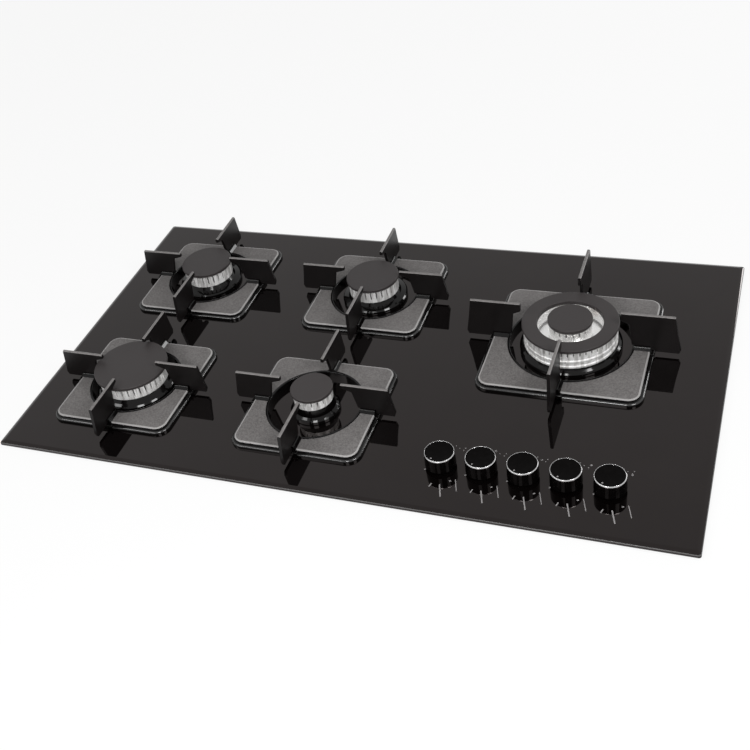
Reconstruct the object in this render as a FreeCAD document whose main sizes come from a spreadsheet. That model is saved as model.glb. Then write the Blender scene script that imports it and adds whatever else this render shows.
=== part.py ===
import FreeCAD, Part
import math
import os
from types import SimpleNamespace

import Sketcher
from FreeCAD import Placement, Rotation, Vector

# A built-in gas cooktop: a bevelled glass plate over a folded steel tray, with four
# burners in two columns, a large triple-crown burner on the right and a row of five
# knobs in front of it.  Millimetres.  X runs to the right, Y to the back and Z up.
# The origin is under the middle of the glass, at the level of the tray's underside.

doc = FreeCAD.newDocument("cooktop")

SIZES = {
    # glass plate, with a wide shallow bevel along its four top edges
    "glass_width": 860,
    "glass_depth": 500,
    "glass_thick": 6,
    "glass_corner": 3,
    "bevel_width": 5.5,
    "bevel_drop": 1.8,
    "glass_hole_gap": 0.5,
    # foam seal between the glass and the worktop
    "seal_inset": 4,
    "seal_width": 6,
    "seal_thick": 3,
    # folded tray under the glass
    "tray_width": 800,
    "tray_depth": 444,
    "tray_height": 46,
    "tray_thick": 1,
    "tray_corner": 14,
    "flange_width": 12,
    "vent_length": 46,
    "vent_width": 4,
    "vent_pitch": 12,
    "vent_count": 7,
    # places of the burners
    "left_column": -296.5,
    "middle_column": -41,
    "row_offset": 116,
    "wok_place_x": 240.5,
    "wok_place_y": 52.7,
    # burner bases, which pass through the glass and stand on the tray
    "aux_skirt": 31,
    "semi_skirt": 44.5,
    "rapid_skirt": 52,
    "wok_skirt": 63,
    "skirt_edge": 5,
    "skirt_slope": 4,
    "skirt_overhang": 3.5,
    "skirt_chamfer": 1,
    "skirt_bevel": 1.5,
    "skirt_bevel_rise": 1.8,
    "bowl_foot": 2.5,
    "bowl_lip": 0.5,
    "throat_drop": 16,
    "column_drop": 32,
    "cavity_drop": 8,
    "mixing_drop": 18,
    "cavity_floor": 30,
    "column_radius": 15,
    "wok_column_radius": 22,
    "mixing_bore": 10.5,
    "foot_rim": 8,
    "foot_thick": 3,
    "boss_radius": 5.5,
    "boss_length": 9,
    "gas_passage": 2,
    # flame crowns and the caps on them
    "aux_crown": 24.5,
    "semi_crown": 33.8,
    "rapid_crown": 45,
    "wok_crown": 56.5,
    "crown_foot": 14,
    "aux_crown_foot": 18.5,
    "wok_crown_foot": 10,
    "crown_top": 30,
    "wok_crown_top": 34,
    "crown_wall": 4,
    "spigot_inset": 5.3,
    "spigot_gap": 0.3,
    "venturi_bore": 6,
    "venturi_wall": 2,
    "venturi_drop": 15,
    "venturi_flare": 3,
    "spigot_depth": 3,
    "crown_floor": 3,
    "crown_land": 4.5,
    "port_width": 1.6,
    "cut_margin": 1,
    "wok_port_depth": 7,
    "centre_port_depth": 5,
    "centre_ports": 20,
    "aux_ports": 20,
    "semi_ports": 28,
    "rapid_ports": 36,
    "wok_ports": 48,
    "aux_cap": 26.4,
    "semi_cap": 35.8,
    "rapid_cap": 48.5,
    "cap_thick": 6,
    "cap_rim_gap": 1.2,
    "cap_chamfer": 1.4,
    "cap_edge": 0.8,
    "cap_seat_inset": 0.8,
    "cap_locator": 3,
    "cap_recess": 1,
    "locator_wall": 2,
    # triple-crown burner: an outer ring cap, a trough and a centre cap
    "wok_cap": 59.5,
    "wok_ring_thick": 5.5,
    "wok_ring_lap": 0.5,
    "ridge_rise": 1,
    "ridge_slope": 1.5,
    "ridge_flat": 2,
    "ridge_pitch": 8,
    "trough_outer": 41,
    "channel_floor": 8,
    "trough_inner": 26,
    "trough_floor": 26,
    "centre_crown_top": 38,
    "centre_cap": 27.5,
    "centre_cap_thick": 6.5,
    # pan supports: a pressed plate with four upright fins
    "plate_half": 80,
    "wok_plate_half": 97,
    "plate_height": 8,
    "plate_corner": 14,
    "plate_skin": 2.5,
    "lip_width": 4.5,
    "lip_height": 4.5,
    "plate_hole": 59,
    "wok_plate_hole": 75.5,
    "rim_width": 3,
    "rim_rise": 1,
    "rib_top": 12.5,
    "rib_top_half": 3.5,
    "rib_base_half": 9,
    "fin_thick": 4,
    "fin_top": 46.5,
    "wok_fin_top": 59.5,
    "fin_tip": 40,
    "wok_fin_tip": 61.5,
    "fin_tip_depth": 5.5,
    "wok_fin_tip_depth": 11.5,
    "fin_neck": 13,
    "wok_fin_neck": 9.5,
    "fin_neck_depth": 10,
    "wok_fin_neck_depth": 16,
    "fin_reach": 106,
    "wok_fin_reach": 132.5,
    "fin_lean": 6,
    "wok_fin_lean": 7.5,
    "fin_foot": 5.5,
    "fin_toe": 2,
    "fin_heel_drop": 1.5,
    "fin_nose_lap": 1,
    "fin_step_gap": 0.8,
    "lip_rib_rise": 2,
    "fin_lip_gap": 0.3,
    # knobs and the valves under them
    "knob_row_x": 233,
    "knob_setback": 42.5,
    "knob_pitch": 47.5,
    "knob_radius": 17.6,
    "knob_flare": 0.5,
    "knob_top": 22,
    "knob_dish": 0.8,
    "knob_lift": 3.8,
    "knob_wall": 2.2,
    "knob_skin": 3,
    "knob_hub": 5.8,
    "ring_width": 1.1,
    "ring_height": 1.6,
    "stem_radius": 3,
    "stem_flat": 2,
    "stem_gap": 0.05,
    "key_half": 2.4,
    "hub_lift": 0.6,
    "collar_radius": 4.7,
    "collar_thick": 1.5,
    "spring_space": 6,
    "spring_radius": 4,
    "spring_wire": 0.4,
    "spring_turns": 3,
    "plug_radius": 6.9,
    "plug_gap": 0.05,
    "rest_gap": 0.3,
    "push_room": 3.5,
    "pocket_gap": 0.3,
    "neck_gap": 0.3,
    "port_cover": 4,
    "valve_width": 24,
    "valve_length": 30,
    "valve_bottom": 6,
    "valve_height": 34,
    "valve_floor": 4,
    "valve_roof": 2,
    # gas line
    "gas_level": 16,
    "rail_side": 16,
    "rail_wall": 1.5,
    "rail_overhang": 14,
    "tube_radius": 3,
    "tube_wall": 0.8,
    "tube_bend": 11,
    "tube_rise": 15,
    "tube_rise_run": 18,
    "tube_lead": 14.5,
    "rise_lead": 12.5,
    "second_lane": -50,
    "third_lane": -30,
    "left_turn": -165,
    "middle_turn": 60,
    "last_turn": -235,
    "lane_slant": 25,
    "supply_radius": 5,
    "supply_bend": 15,
    "inlet_side": 372,
    "inlet_thread": 10.48,
    "inlet_length": 12,
    "inlet_neck": 12.5,
    "inlet_nut": 3,
    "elbow_size": 24,
    "elbow_back": 205,
    # ignition and flame sensing
    "rod_radius": 2,
    "rod_gap": 0.3,
    "rod_offset": 0.5,
    "rod_top": 23,
    "wok_rod_top": 33,
    "rod_drop": 36,
    "rod_tip_radius": 0.9,
    "rod_tip_length": 4.5,
    "notch_room": 0.4,
    "injector_radius": 4,
    "injector_height": 5,
    "nozzle_radius": 2.4,
    "nozzle_height": 4,
    "jet_radius": 0.6,
    "wok_rod_radius": 34,
    "module_length": 80,
    "module_width": 46,
    "module_height": 26,
    "module_x": -166,
    "module_y": 172,
    "module_round": 3,
    "plug_pin_radius": 2.5,
    "plug_pin_length": 5,
    "terminal_length": 52,
    "terminal_width": 30,
    "terminal_height": 24,
    "terminal_x": 60,
    "gland_radius": 7,
    "gland_length": 10,
    # clamps that hold the cooktop down in the worktop, and small screws
    "clamp_width": 22,
    "clamp_thick": 1.5,
    "clamp_reach": 27,
    "clamp_level": 9,
    "clamp_height": 26,
    "clamp_place": 130,
    "screw_radius": 1.9,
    "screw_gap": 0.15,
    "screw_head": 3.5,
    "screw_head_height": 2.2,
}

sheet = doc.addObject("Spreadsheet::Sheet", "Sizes")
for row, (alias, number) in enumerate(SIZES.items(), 1):
    sheet.set(f"A{row}", alias)
    sheet.set(f"B{row}", str(number))
    sheet.setAlias(f"B{row}", alias)
doc.recompute()


class Size:
    """A length together with the sheet expression that it comes from."""

    def __init__(self, number, text=None):
        self.number = float(number)
        self.text = text or repr(float(number))

    def __float__(self):
        return self.number

    def __add__(self, other):
        other = as_size(other)
        return Size(self.number + other.number, f"({self.text} + {other.text})")

    def __sub__(self, other):
        other = as_size(other)
        return Size(self.number - other.number, f"({self.text} - {other.text})")

    def __mul__(self, factor):
        factor = as_size(factor)
        return Size(self.number * factor.number, f"({self.text} * {factor.text})")

    def __truediv__(self, divisor):
        divisor = as_size(divisor)
        return Size(self.number / divisor.number, f"({self.text} / {divisor.text})")

    def __neg__(self):
        return self * -1

    def __radd__(self, other):
        return as_size(other) + self

    def __rsub__(self, other):
        return as_size(other) - self

    def __rmul__(self, factor):
        return self * factor


def as_size(item):
    """A plain number as a Size, and a Size as it is."""
    return item if isinstance(item, Size) else Size(item)


S = SimpleNamespace(**{name: Size(number, f"Sizes.{name}") for name, number in SIZES.items()})


# ---------------------------------------------------------------- building blocks

NODES = []


def bind(target, name, size):
    """Tie one property of an object to the sheet."""
    target.setExpression(name, as_size(size).text)


def new_body(label, x=0, y=0, z=0):
    """An empty body with its place tied to the sheet."""
    body = doc.addObject("PartDesign::Body", label)
    body.AllowCompound = True
    for axis, place in zip("xyz", (x, y, z)):
        bind(body, f"Placement.Base.{axis}", place)
    NODES.append(body)
    return body


def origin_feature(body, role):
    """One of the planes or axes of a body's own origin."""
    return next(item for item in body.Origin.OriginFeatures if item.Role == role)


def new_sketch(body, plane="XY_Plane", height=0):
    """A sketch on one of the body's planes, raised along its normal."""
    sketch = body.newObject("Sketcher::SketchObject", f"{body.Label}_sketch")
    sketch.AttachmentSupport = (origin_feature(body, plane), [""])
    sketch.MapMode = "FlatFace"
    bind(sketch, "AttachmentOffset.Base.z", height)
    return sketch


def constrain(sketch, rules):
    """Add constraints in one go, and tie to the sheet those that have a size."""
    made = []
    for kind, places, size in rules:
        numbers = [] if size is None else [float(size)]
        made.append(Sketcher.Constraint(kind, *places, *numbers))
    first = sketch.ConstraintCount
    sketch.addConstraint(made)
    for index, (kind, places, size) in enumerate(rules, first):
        if isinstance(size, Size):
            bind(sketch, f"Constraints[{index}]", size)


def at(element, point, x, y):
    """The two rules that hold a point of an element at x and y."""
    rules = []
    for kind, axis, size in (("DistanceX", -2, x), ("DistanceY", -1, y)):
        if not isinstance(size, Size) and size == 0:
            rules.append(("PointOnObject", (element, point, axis), None))
        else:
            rules.append((kind, (-1, 1, element, point), size))
    return rules


def flat(x, y):
    """A point of a sketch."""
    return Vector(float(x), float(y), 0)


def draw_outline(sketch, points):
    """A closed outline of straight edges through points tied to the sheet."""
    first = sketch.GeometryCount
    count = len(points)
    edges = []
    rules = []
    for index, (start, end) in enumerate(zip(points, points[1:] + points[:1])):
        edges.append(Part.LineSegment(flat(*start), flat(*end)))
        before = first + (index - 1) % count
        rules.append(("Coincident", (before, 2, first + index, 1), None))
        rules += at(first + index, 1, *start)
    sketch.addGeometry(edges, False)
    constrain(sketch, rules)


def draw_box(sketch, left, front, right, back):
    """A rectangle in a sketch."""
    draw_outline(sketch, [(left, front), (right, front), (right, back), (left, back)])


def draw_rounded_box(sketch, half_x, half_y, radius):
    """A rectangle round the sketch's origin with a tangent arc at each corner."""
    first = sketch.GeometryCount
    x, y, r = float(half_x), float(half_y), float(radius)
    lines = [
        ((r - x, -y), (x - r, -y)), ((x, r - y), (x, y - r)),
        ((x - r, y), (r - x, y)), ((-x, y - r), (-x, r - y)),
    ]
    centres = [(x - r, r - y), (x - r, y - r), (r - x, y - r), (r - x, r - y)]
    rules = []
    for corner, (line, centre) in enumerate(zip(lines, centres)):
        start = math.radians(90 * corner - 90)
        circle = Part.Circle(flat(*centre), Vector(0, 0, 1), r)
        sketch.addGeometry(Part.LineSegment(flat(*line[0]), flat(*line[1])), False)
        sketch.addGeometry(Part.ArcOfCircle(circle, start, start + math.pi / 2), False)
        side, arc = first + 2 * corner, first + 2 * corner + 1
        following = first + (2 * corner + 2) % 8
        rules.append(("Tangent", (side, 2, arc, 1), None))
        rules.append(("Tangent", (arc, 2, following, 1), None))
        rules.append(("Vertical" if corner % 2 else "Horizontal", (side,), None))
        if corner:
            rules.append(("Equal", (first + 1, arc), None))
    rules.append(("Radius", (first + 1,), radius))
    rules.append(("DistanceY", (-1, 1, first, 1), -half_y))
    rules.append(("DistanceX", (-1, 1, first + 2, 1), half_x))
    rules.append(("DistanceY", (-1, 1, first + 4, 1), half_y))
    rules.append(("DistanceX", (-1, 1, first + 6, 1), -half_x))
    constrain(sketch, rules)


def draw_circle(sketch, x, y, radius):
    """A circle in a sketch."""
    index = sketch.addGeometry(Part.Circle(flat(x, y), Vector(0, 0, 1), float(radius)), False)
    constrain(sketch, [("Radius", (index,), radius)] + at(index, 3, x, y))


def pad(body, sketch, length, both_ways=False):
    """Raise a sketch into a solid, along its normal or half to each side."""
    feature = body.newObject("PartDesign::Pad", f"{body.Label}_pad")
    feature.Profile = sketch
    feature.SideType = "Symmetric" if both_ways else "One side"
    bind(feature, "Length", length)
    return feature


def pocket(body, sketch, depth=None, upward=False):
    """Cut a sketch out of the solid: against its normal, along it, or right through."""
    feature = body.newObject("PartDesign::Pocket", f"{body.Label}_pocket")
    feature.Profile = sketch
    if depth is None:
        feature.SideType = "Symmetric"
        feature.Type = "ThroughAll"
    else:
        feature.Reversed = upward
        bind(feature, "Length", depth)
    return feature


def revolve(body, points):
    """Turn an outline of (radius, height) points about the body's Z axis."""
    sketch = new_sketch(body, "XZ_Plane")
    draw_outline(sketch, points)
    feature = body.newObject("PartDesign::Revolution", f"{body.Label}_turned")
    feature.Profile = sketch
    feature.ReferenceAxis = (sketch, ["V_Axis"])
    feature.Angle = 360
    return feature


def pattern(body, feature, count, pitch=None):
    """Repeat a feature round the Z axis, or the whole body along X at a pitch."""
    kind = "PolarPattern" if pitch is None else "LinearPattern"
    copies = body.newObject(f"PartDesign::{kind}", f"{body.Label}_{kind}")
    if pitch is None:
        copies.Originals = [feature]
        copies.Axis = (origin_feature(body, "Z_Axis"), [""])
        copies.Angle = 360
    else:
        doc.recompute()
        copies.TransformMode = "Whole shape"
        copies.Direction = (origin_feature(body, "X_Axis"), [""])
        copies.Mode = "Spacing"
        bind(copies, "Offset", pitch)
    bind(copies, "Occurrences", count)
    body.Tip = copies
    return copies


def round_uprights(body, feature, radius):
    """Round the edges of a feature that run straight up."""
    doc.recompute()
    boxes = [edge.BoundBox for edge in feature.Shape.Edges]
    names = [f"Edge{i}" for i, box in enumerate(boxes, 1) if box.XLength + box.YLength < 1e-6]
    done = body.newObject("PartDesign::Fillet", f"{body.Label}_rounded")
    done.Base = (feature, names)
    bind(done, "Radius", radius)


GLASS_TOP = S.tray_height + S.glass_thick
BASE_DEPTH = GLASS_TOP - S.tray_thick
GAS_DROP = GLASS_TOP - S.gas_level
VALVE_TOP = S.valve_bottom + S.valve_height
COLLAR_TOP = VALVE_TOP - S.valve_roof - S.rest_gap
POCKET_FLOOR = COLLAR_TOP - S.collar_thick - S.spring_space
STEM_BORE_FLOOR = S.gas_level + S.port_cover
KNOB_ROW_Y = S.knob_setback - S.tray_depth / 2
RAIL_Y = KNOB_ROW_Y - S.valve_length / 2 - S.rail_side / 2
HUB_FOOT = S.knob_lift + S.hub_lift

BURNERS = {
    "front_left": SimpleNamespace(
        x=S.left_column, y=-S.row_offset, skirt=S.rapid_skirt, crown=S.rapid_crown,
        foot=S.crown_foot, ports=S.rapid_ports, cap=S.rapid_cap,
    ),
    "front_middle": SimpleNamespace(
        x=S.middle_column, y=-S.row_offset, skirt=S.aux_skirt, crown=S.aux_crown,
        foot=S.aux_crown_foot, ports=S.aux_ports, cap=S.aux_cap,
    ),
    "rear_left": SimpleNamespace(
        x=S.left_column, y=S.row_offset, skirt=S.semi_skirt, crown=S.semi_crown,
        foot=S.crown_foot, ports=S.semi_ports, cap=S.semi_cap,
    ),
    "rear_middle": SimpleNamespace(
        x=S.middle_column, y=S.row_offset, skirt=S.semi_skirt, crown=S.semi_crown,
        foot=S.crown_foot, ports=S.semi_ports, cap=S.semi_cap,
    ),
}
WOK = SimpleNamespace(
    x=S.wok_place_x, y=S.wok_place_y, skirt=S.wok_skirt, crown=S.wok_crown, foot=S.wok_crown_foot
)
ALL_BURNERS = [*BURNERS.values(), WOK]
KNOBS = [S.knob_row_x + S.knob_pitch * (place - 2) for place in range(5)]

# The two rods of a burner, for the spark and for the flame, stand at its back.
ROD_TURNS = {"spark_electrodes": 112, "thermocouples": 68}


def rod_place(burner, turn):
    """Where a rod stands: beside the crown, or in the trough of the wok burner."""
    radius = S.wok_rod_radius if burner is WOK else burner.crown + S.rod_offset
    across = radius * round(math.cos(math.radians(turn)), 4)
    back = radius * round(math.sin(math.radians(turn)), 4)
    return across, back


# ---------------------------------------------------------------- glass, seal and tray


def make_glass():
    """The glass plate, bevelled round its top, with holes for burners and stems."""
    body = new_body("glass_top", z=S.tray_height)
    half_x = S.glass_width / 2
    half_y = S.glass_depth / 2
    sketch = new_sketch(body)
    draw_box(sketch, -half_x, -half_y, half_x, half_y)
    pad(body, sketch, S.glass_thick - S.bevel_drop)
    top = new_sketch(body, height=S.glass_thick - S.bevel_drop)
    draw_box(top, -half_x, -half_y, half_x, half_y)
    bevel = pad(body, top, S.bevel_drop)
    angle = f"-atan({S.bevel_width.text} / {S.bevel_drop.text})"
    bevel.setExpression("TaperAngle", angle)
    round_uprights(body, bevel, S.glass_corner)
    holes = new_sketch(body)
    for burner in ALL_BURNERS:
        radius = burner.skirt - S.skirt_overhang + S.glass_hole_gap
        draw_circle(holes, burner.x, burner.y, radius)
    for x in KNOBS:
        draw_circle(holes, x, KNOB_ROW_Y, S.stem_radius + 2 * S.glass_hole_gap)
    pocket(body, holes)


def make_seal():
    """The foam strip on the underside of the glass, just inside its edge."""
    body = new_body("edge_seal", z=S.tray_height - S.seal_thick)
    sketch = new_sketch(body)
    for inset in (S.seal_inset, S.seal_inset + S.seal_width):
        half_x = S.glass_width / 2 - inset
        half_y = S.glass_depth / 2 - inset
        draw_box(sketch, -half_x, -half_y, half_x, half_y)
    pad(body, sketch, S.seal_thick)


def floor_screw_places():
    """Screws through the feet of the bases, the module and the terminal box."""
    places = []
    for burner in ALL_BURNERS:
        column = S.wok_column_radius if burner is WOK else S.column_radius
        reach = column + S.foot_rim / 2
        places += [(burner.x, burner.y - reach), (burner.x, burner.y + reach)]
    for side in (-1, 1):
        places.append((S.module_x + side * (S.module_length / 2 + S.screw_head), S.module_y))
    return places


def clamp_places():
    """The Y places of the clamps on each side wall."""
    return [-S.clamp_place, S.clamp_place]


def make_tray():
    """The folded steel tray that closes the cooktop from below."""
    body = new_body("bottom_tray")
    half_x = S.tray_width / 2
    half_y = S.tray_depth / 2
    for bottom, height, reach in (
        (0, S.tray_height, 0), (S.tray_height - S.tray_thick, S.tray_thick, S.flange_width),
    ):
        layer = new_sketch(body, height=bottom)
        draw_rounded_box(layer, half_x + reach, half_y + reach, S.tray_corner + reach)
        pad(body, layer, height)
    inside = new_sketch(body, height=S.tray_height)
    thick = S.tray_thick
    draw_rounded_box(inside, half_x - thick, half_y - thick, S.tray_corner - thick)
    pocket(body, inside, S.tray_height - thick)
    holes = new_sketch(body)
    for x, y in floor_screw_places():
        draw_circle(holes, x, y, S.screw_radius + S.screw_gap)
    for index in range(SIZES["vent_count"]):
        x = S.middle_column - S.vent_pitch * (SIZES["vent_count"] - 1) / 2 + S.vent_pitch * index
        half = S.vent_length / 2
        draw_box(holes, x - S.vent_width / 2, -half, x + S.vent_width / 2, half)
    pocket(body, holes, S.tray_thick, upward=True)
    rear = new_sketch(body, "XZ_Plane", -half_y)
    draw_circle(rear, S.inlet_side, S.gas_level, S.inlet_neck + S.rest_gap)
    draw_circle(rear, S.terminal_x, S.gas_level, S.gland_radius + S.rest_gap)
    pocket(body, rear, 2 * S.tray_corner, upward=True)
    sides = new_sketch(body, "YZ_Plane")
    for y in clamp_places():
        draw_circle(sides, y, S.clamp_level + S.clamp_height / 2, S.screw_radius + S.screw_gap)
    pocket(body, sides)


# ---------------------------------------------------------------- burners


def column_of(burner):
    """The radius of the column that carries a burner base."""
    return S.wok_column_radius if burner is WOK else S.column_radius


def make_base(label, burner):
    """A cast burner base: foot, column, bowl, and the skirt that laps the glass."""
    body = new_body(label, burner.x, burner.y, GLASS_TOP)
    column = column_of(burner)
    foot_radius = column + S.foot_rim
    throat = burner.skirt - S.skirt_overhang
    cavity = burner.crown - S.spigot_inset + S.spigot_gap
    edge = S.skirt_edge
    revolve(body, [
        (0, -BASE_DEPTH), (foot_radius, -BASE_DEPTH), (foot_radius, S.foot_thick - BASE_DEPTH),
        (column, S.foot_thick - BASE_DEPTH), (column, -S.column_drop), (throat, -S.throat_drop),
        (throat, 0), (burner.skirt - S.skirt_chamfer, 0), (burner.skirt, S.skirt_chamfer),
        (burner.skirt, edge), (burner.skirt - S.skirt_bevel, edge + S.skirt_bevel_rise),
        (burner.crown + S.bowl_foot, edge + S.skirt_slope), (burner.crown - S.bowl_lip, burner.foot),
        (cavity, burner.foot), (cavity, -S.cavity_drop),
        (S.mixing_bore, -S.mixing_drop), (S.mixing_bore, -S.cavity_floor), (0, -S.cavity_floor),
    ])
    side = new_sketch(body, "YZ_Plane")
    draw_circle(side, 0, -GAS_DROP, S.boss_radius)
    pad(body, side, column + S.boss_length)
    way = new_sketch(body, "YZ_Plane")
    draw_circle(way, 0, -GAS_DROP, S.gas_passage)
    pocket(body, way, column + S.boss_length, upward=True)
    jet = new_sketch(body, height=-S.cavity_floor)
    draw_circle(jet, 0, 0, S.gas_passage)
    pocket(body, jet, GAS_DROP - S.cavity_floor)
    rods = new_sketch(body)
    for turn in ROD_TURNS.values():
        draw_circle(rods, *rod_place(burner, turn), S.rod_radius + S.rod_gap)
    for side_sign in (-1, 1):
        place = side_sign * (column + S.foot_rim / 2)
        draw_circle(rods, 0, place, S.screw_radius + S.screw_gap)
    return pocket(body, rods)


def make_crown(name, burner):
    """A flame crown: a slotted ring on a floor, with the mixing tube under it."""
    body = new_body(f"flame_crown_{name}", burner.x, burner.y, GLASS_TOP)
    spigot = burner.crown - S.spigot_inset
    inner = burner.crown - S.crown_wall
    tube = S.venturi_bore + S.venturi_wall
    foot = burner.foot
    revolve(body, [
        (S.venturi_bore, -S.venturi_drop), (tube, -S.venturi_drop), (tube, foot - 2 * S.spigot_depth),
        (spigot, foot - S.spigot_depth), (spigot, foot), (burner.crown, foot),
        (burner.crown, S.crown_top), (inner, S.crown_top), (inner, foot + S.crown_floor),
        (S.venturi_bore + S.venturi_flare, foot + S.crown_floor / 3),
        (S.venturi_bore, foot - S.spigot_depth),
    ])
    depth = S.crown_top - foot - S.crown_land
    cut_ports(body, inner, burner.crown, S.crown_top, depth, burner.ports)
    cut_rod_ways(body, burner)


def cut_ports(body, inner, outer, top, depth, count):
    """Radial flame slots through a ring from one radius to the other, open at its top."""
    slot = new_sketch(body, height=top)
    half = S.port_width / 2
    draw_box(slot, inner - S.cut_margin, -half, outer + S.cut_margin, half)
    pattern(body, pocket(body, slot, depth), count)


def cut_rod_ways(body, burner):
    """Room in a crown for the two rods, so that it lifts straight off them."""
    ways = new_sketch(body)
    for turn in ROD_TURNS.values():
        draw_circle(ways, *rod_place(burner, turn), S.rod_radius + S.rod_gap + S.notch_room)
    pocket(body, ways)


def make_cap(label, burner, radius, crown, seat, thick):
    """A round enamelled cap that lies on a crown, located by a ring inside it."""
    body = new_body(label, burner.x, burner.y, GLASS_TOP)
    locator = crown - S.crown_wall - S.spigot_gap
    rim = seat + S.cap_rim_gap
    revolve(body, [
        (0, seat + thick), (radius - S.cap_edge, seat + thick), (radius, seat + thick - S.cap_edge),
        (radius, rim + S.cap_chamfer), (radius - S.cap_chamfer, rim), (crown - S.cap_seat_inset, rim),
        (crown - S.cap_seat_inset, seat), (locator, seat), (locator, seat - S.cap_locator),
        (locator - S.locator_wall, seat - S.cap_locator),
        (locator - S.locator_wall, seat + S.cap_recess), (0, seat + S.cap_recess),
    ])


def make_wok_crown():
    """The triple crown: an outer slotted ring, a bright trough and a centre ring."""
    body = new_body("flame_crown_wok", WOK.x, WOK.y, GLASS_TOP)
    spigot = WOK.crown - S.spigot_inset
    tube = S.venturi_bore + S.venturi_wall
    foot = WOK.foot
    top = S.wok_crown_top
    outer_wall = WOK.crown - S.crown_wall
    inner_wall = S.trough_outer + S.crown_wall
    centre_wall = S.trough_inner - S.crown_wall
    ridge = WOK.crown + S.ridge_rise
    ridges = []
    for base in (foot, foot + S.ridge_pitch):
        crest = base + S.ridge_slope
        ridges += [
            (WOK.crown, base), (ridge, crest), (ridge, crest + S.ridge_flat),
            (WOK.crown, crest + S.ridge_flat + S.ridge_slope),
        ]
    revolve(body, [
        (S.venturi_bore, -S.venturi_drop), (tube, -S.venturi_drop), (tube, foot - 2 * S.spigot_depth),
        (spigot, foot - S.spigot_depth), (spigot, foot), *ridges, (WOK.crown, top), (outer_wall, top),
        (outer_wall, foot + S.channel_floor), (inner_wall, foot + S.channel_floor),
        (inner_wall, top), (S.trough_outer, top), (S.trough_outer, S.trough_floor),
        (S.trough_inner, S.trough_floor), (S.trough_inner, S.centre_crown_top),
        (centre_wall, S.centre_crown_top), (centre_wall, foot + S.channel_floor),
        (S.venturi_bore + S.venturi_flare, foot + S.channel_floor / 2), (S.venturi_bore, foot),
    ])
    cut_ports(body, outer_wall, WOK.crown, top, S.wok_port_depth, S.wok_ports)
    centre_top = S.centre_crown_top
    cut_ports(body, centre_wall, S.trough_inner, centre_top, S.centre_port_depth, S.centre_ports)
    cut_rod_ways(body, WOK)


def make_wok_ring():
    """The ring-shaped cap over the outer crown of the triple-crown burner."""
    body = new_body("burner_cap_wok_ring", WOK.x, WOK.y, GLASS_TOP)
    seat = S.wok_crown_top
    top = seat + S.wok_ring_thick
    rim = seat + S.cap_rim_gap
    hole = S.trough_outer - S.wok_ring_lap
    locator = WOK.crown - S.crown_wall - S.spigot_gap
    revolve(body, [
        (hole, seat), (hole, top - S.cap_edge), (hole + S.cap_edge, top), (S.wok_cap - S.cap_edge, top),
        (S.wok_cap, top - S.cap_edge), (S.wok_cap, rim + S.cap_chamfer),
        (S.wok_cap - S.cap_chamfer, rim), (WOK.crown - S.cap_seat_inset, rim),
        (WOK.crown - S.cap_seat_inset, seat), (locator, seat), (locator, seat - S.cap_locator),
        (locator - S.locator_wall, seat - S.cap_locator), (locator - S.locator_wall, seat),
    ])


def make_injectors():
    """The brass jets, one standing on the cavity floor of each base."""
    body = new_body("injectors", z=GLASS_TOP - S.cavity_floor)
    for radius, bottom, height in (
        (S.injector_radius, 0, S.injector_height),
        (S.nozzle_radius, S.injector_height, S.nozzle_height),
    ):
        sketch = new_sketch(body, height=bottom)
        for burner in ALL_BURNERS:
            draw_circle(sketch, burner.x, burner.y, radius)
        pad(body, sketch, height)
    bores = new_sketch(body)
    for burner in ALL_BURNERS:
        draw_circle(bores, burner.x, burner.y, S.jet_radius)
    pocket(body, bores)


def make_rods(label, turn):
    """Upright rods behind the crowns, each with a thin tip under the cap's rim."""
    body = new_body(label, z=GLASS_TOP)
    for burners, top in ((list(BURNERS.values()), S.rod_top), ([WOK], S.wok_rod_top)):
        for radius, bottom, height in (
            (S.rod_radius, -S.rod_drop, S.rod_drop + top),
            (S.rod_tip_radius, top, S.rod_tip_length),
        ):
            sketch = new_sketch(body, height=bottom)
            for burner in burners:
                across, back = rod_place(burner, turn)
                draw_circle(sketch, burner.x + across, burner.y + back, radius)
            pad(body, sketch, height)


# ---------------------------------------------------------------- pan supports


def make_plate(name, burner, half, hole):
    """A pressed plate round a burner: hollow below, ribbed to the middle of each side."""
    body = new_body(f"pan_plate_{name}", burner.x, burner.y, GLASS_TOP)
    outer = half + S.lip_width
    for reach, height in ((outer, S.lip_height), (half, S.plate_height)):
        layer = new_sketch(body)
        draw_rounded_box(layer, reach, reach, S.plate_corner + reach - half)
        pad(body, layer, height)
    base, crest = S.rib_base_half, S.rib_top_half
    for plane in ("YZ_Plane", "XZ_Plane"):
        rib = new_sketch(body, plane)
        draw_outline(rib, [
            (-base, 0), (base, 0), (base, S.plate_height), (crest, S.rib_top),
            (-crest, S.rib_top), (-base, S.plate_height),
        ])
        pad(body, rib, 2 * half, both_ways=True)
        toe = new_sketch(body, plane)
        draw_box(toe, -base, 0, base, S.lip_height + S.lip_rib_rise)
        pad(body, toe, 2 * outer, both_ways=True)
    rim = new_sketch(body)
    draw_circle(rim, 0, 0, hole + S.rim_width)
    pad(body, rim, S.plate_height + S.rim_rise)
    opening = new_sketch(body)
    draw_circle(opening, 0, 0, hole)
    pocket(body, opening)
    below = new_sketch(body)
    reach = half - S.rim_width
    draw_box(below, -reach, -reach, reach, reach)
    draw_circle(below, 0, 0, hole + 2 * S.rim_width)
    pocket(body, below, S.plate_height - S.plate_skin, upward=True)


# The outer edge of a fin bulges between its foot and its top: shares of lean and rise.
FIN_BULGE = ((0.18, 0.14), (0.6, 0.53))


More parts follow.
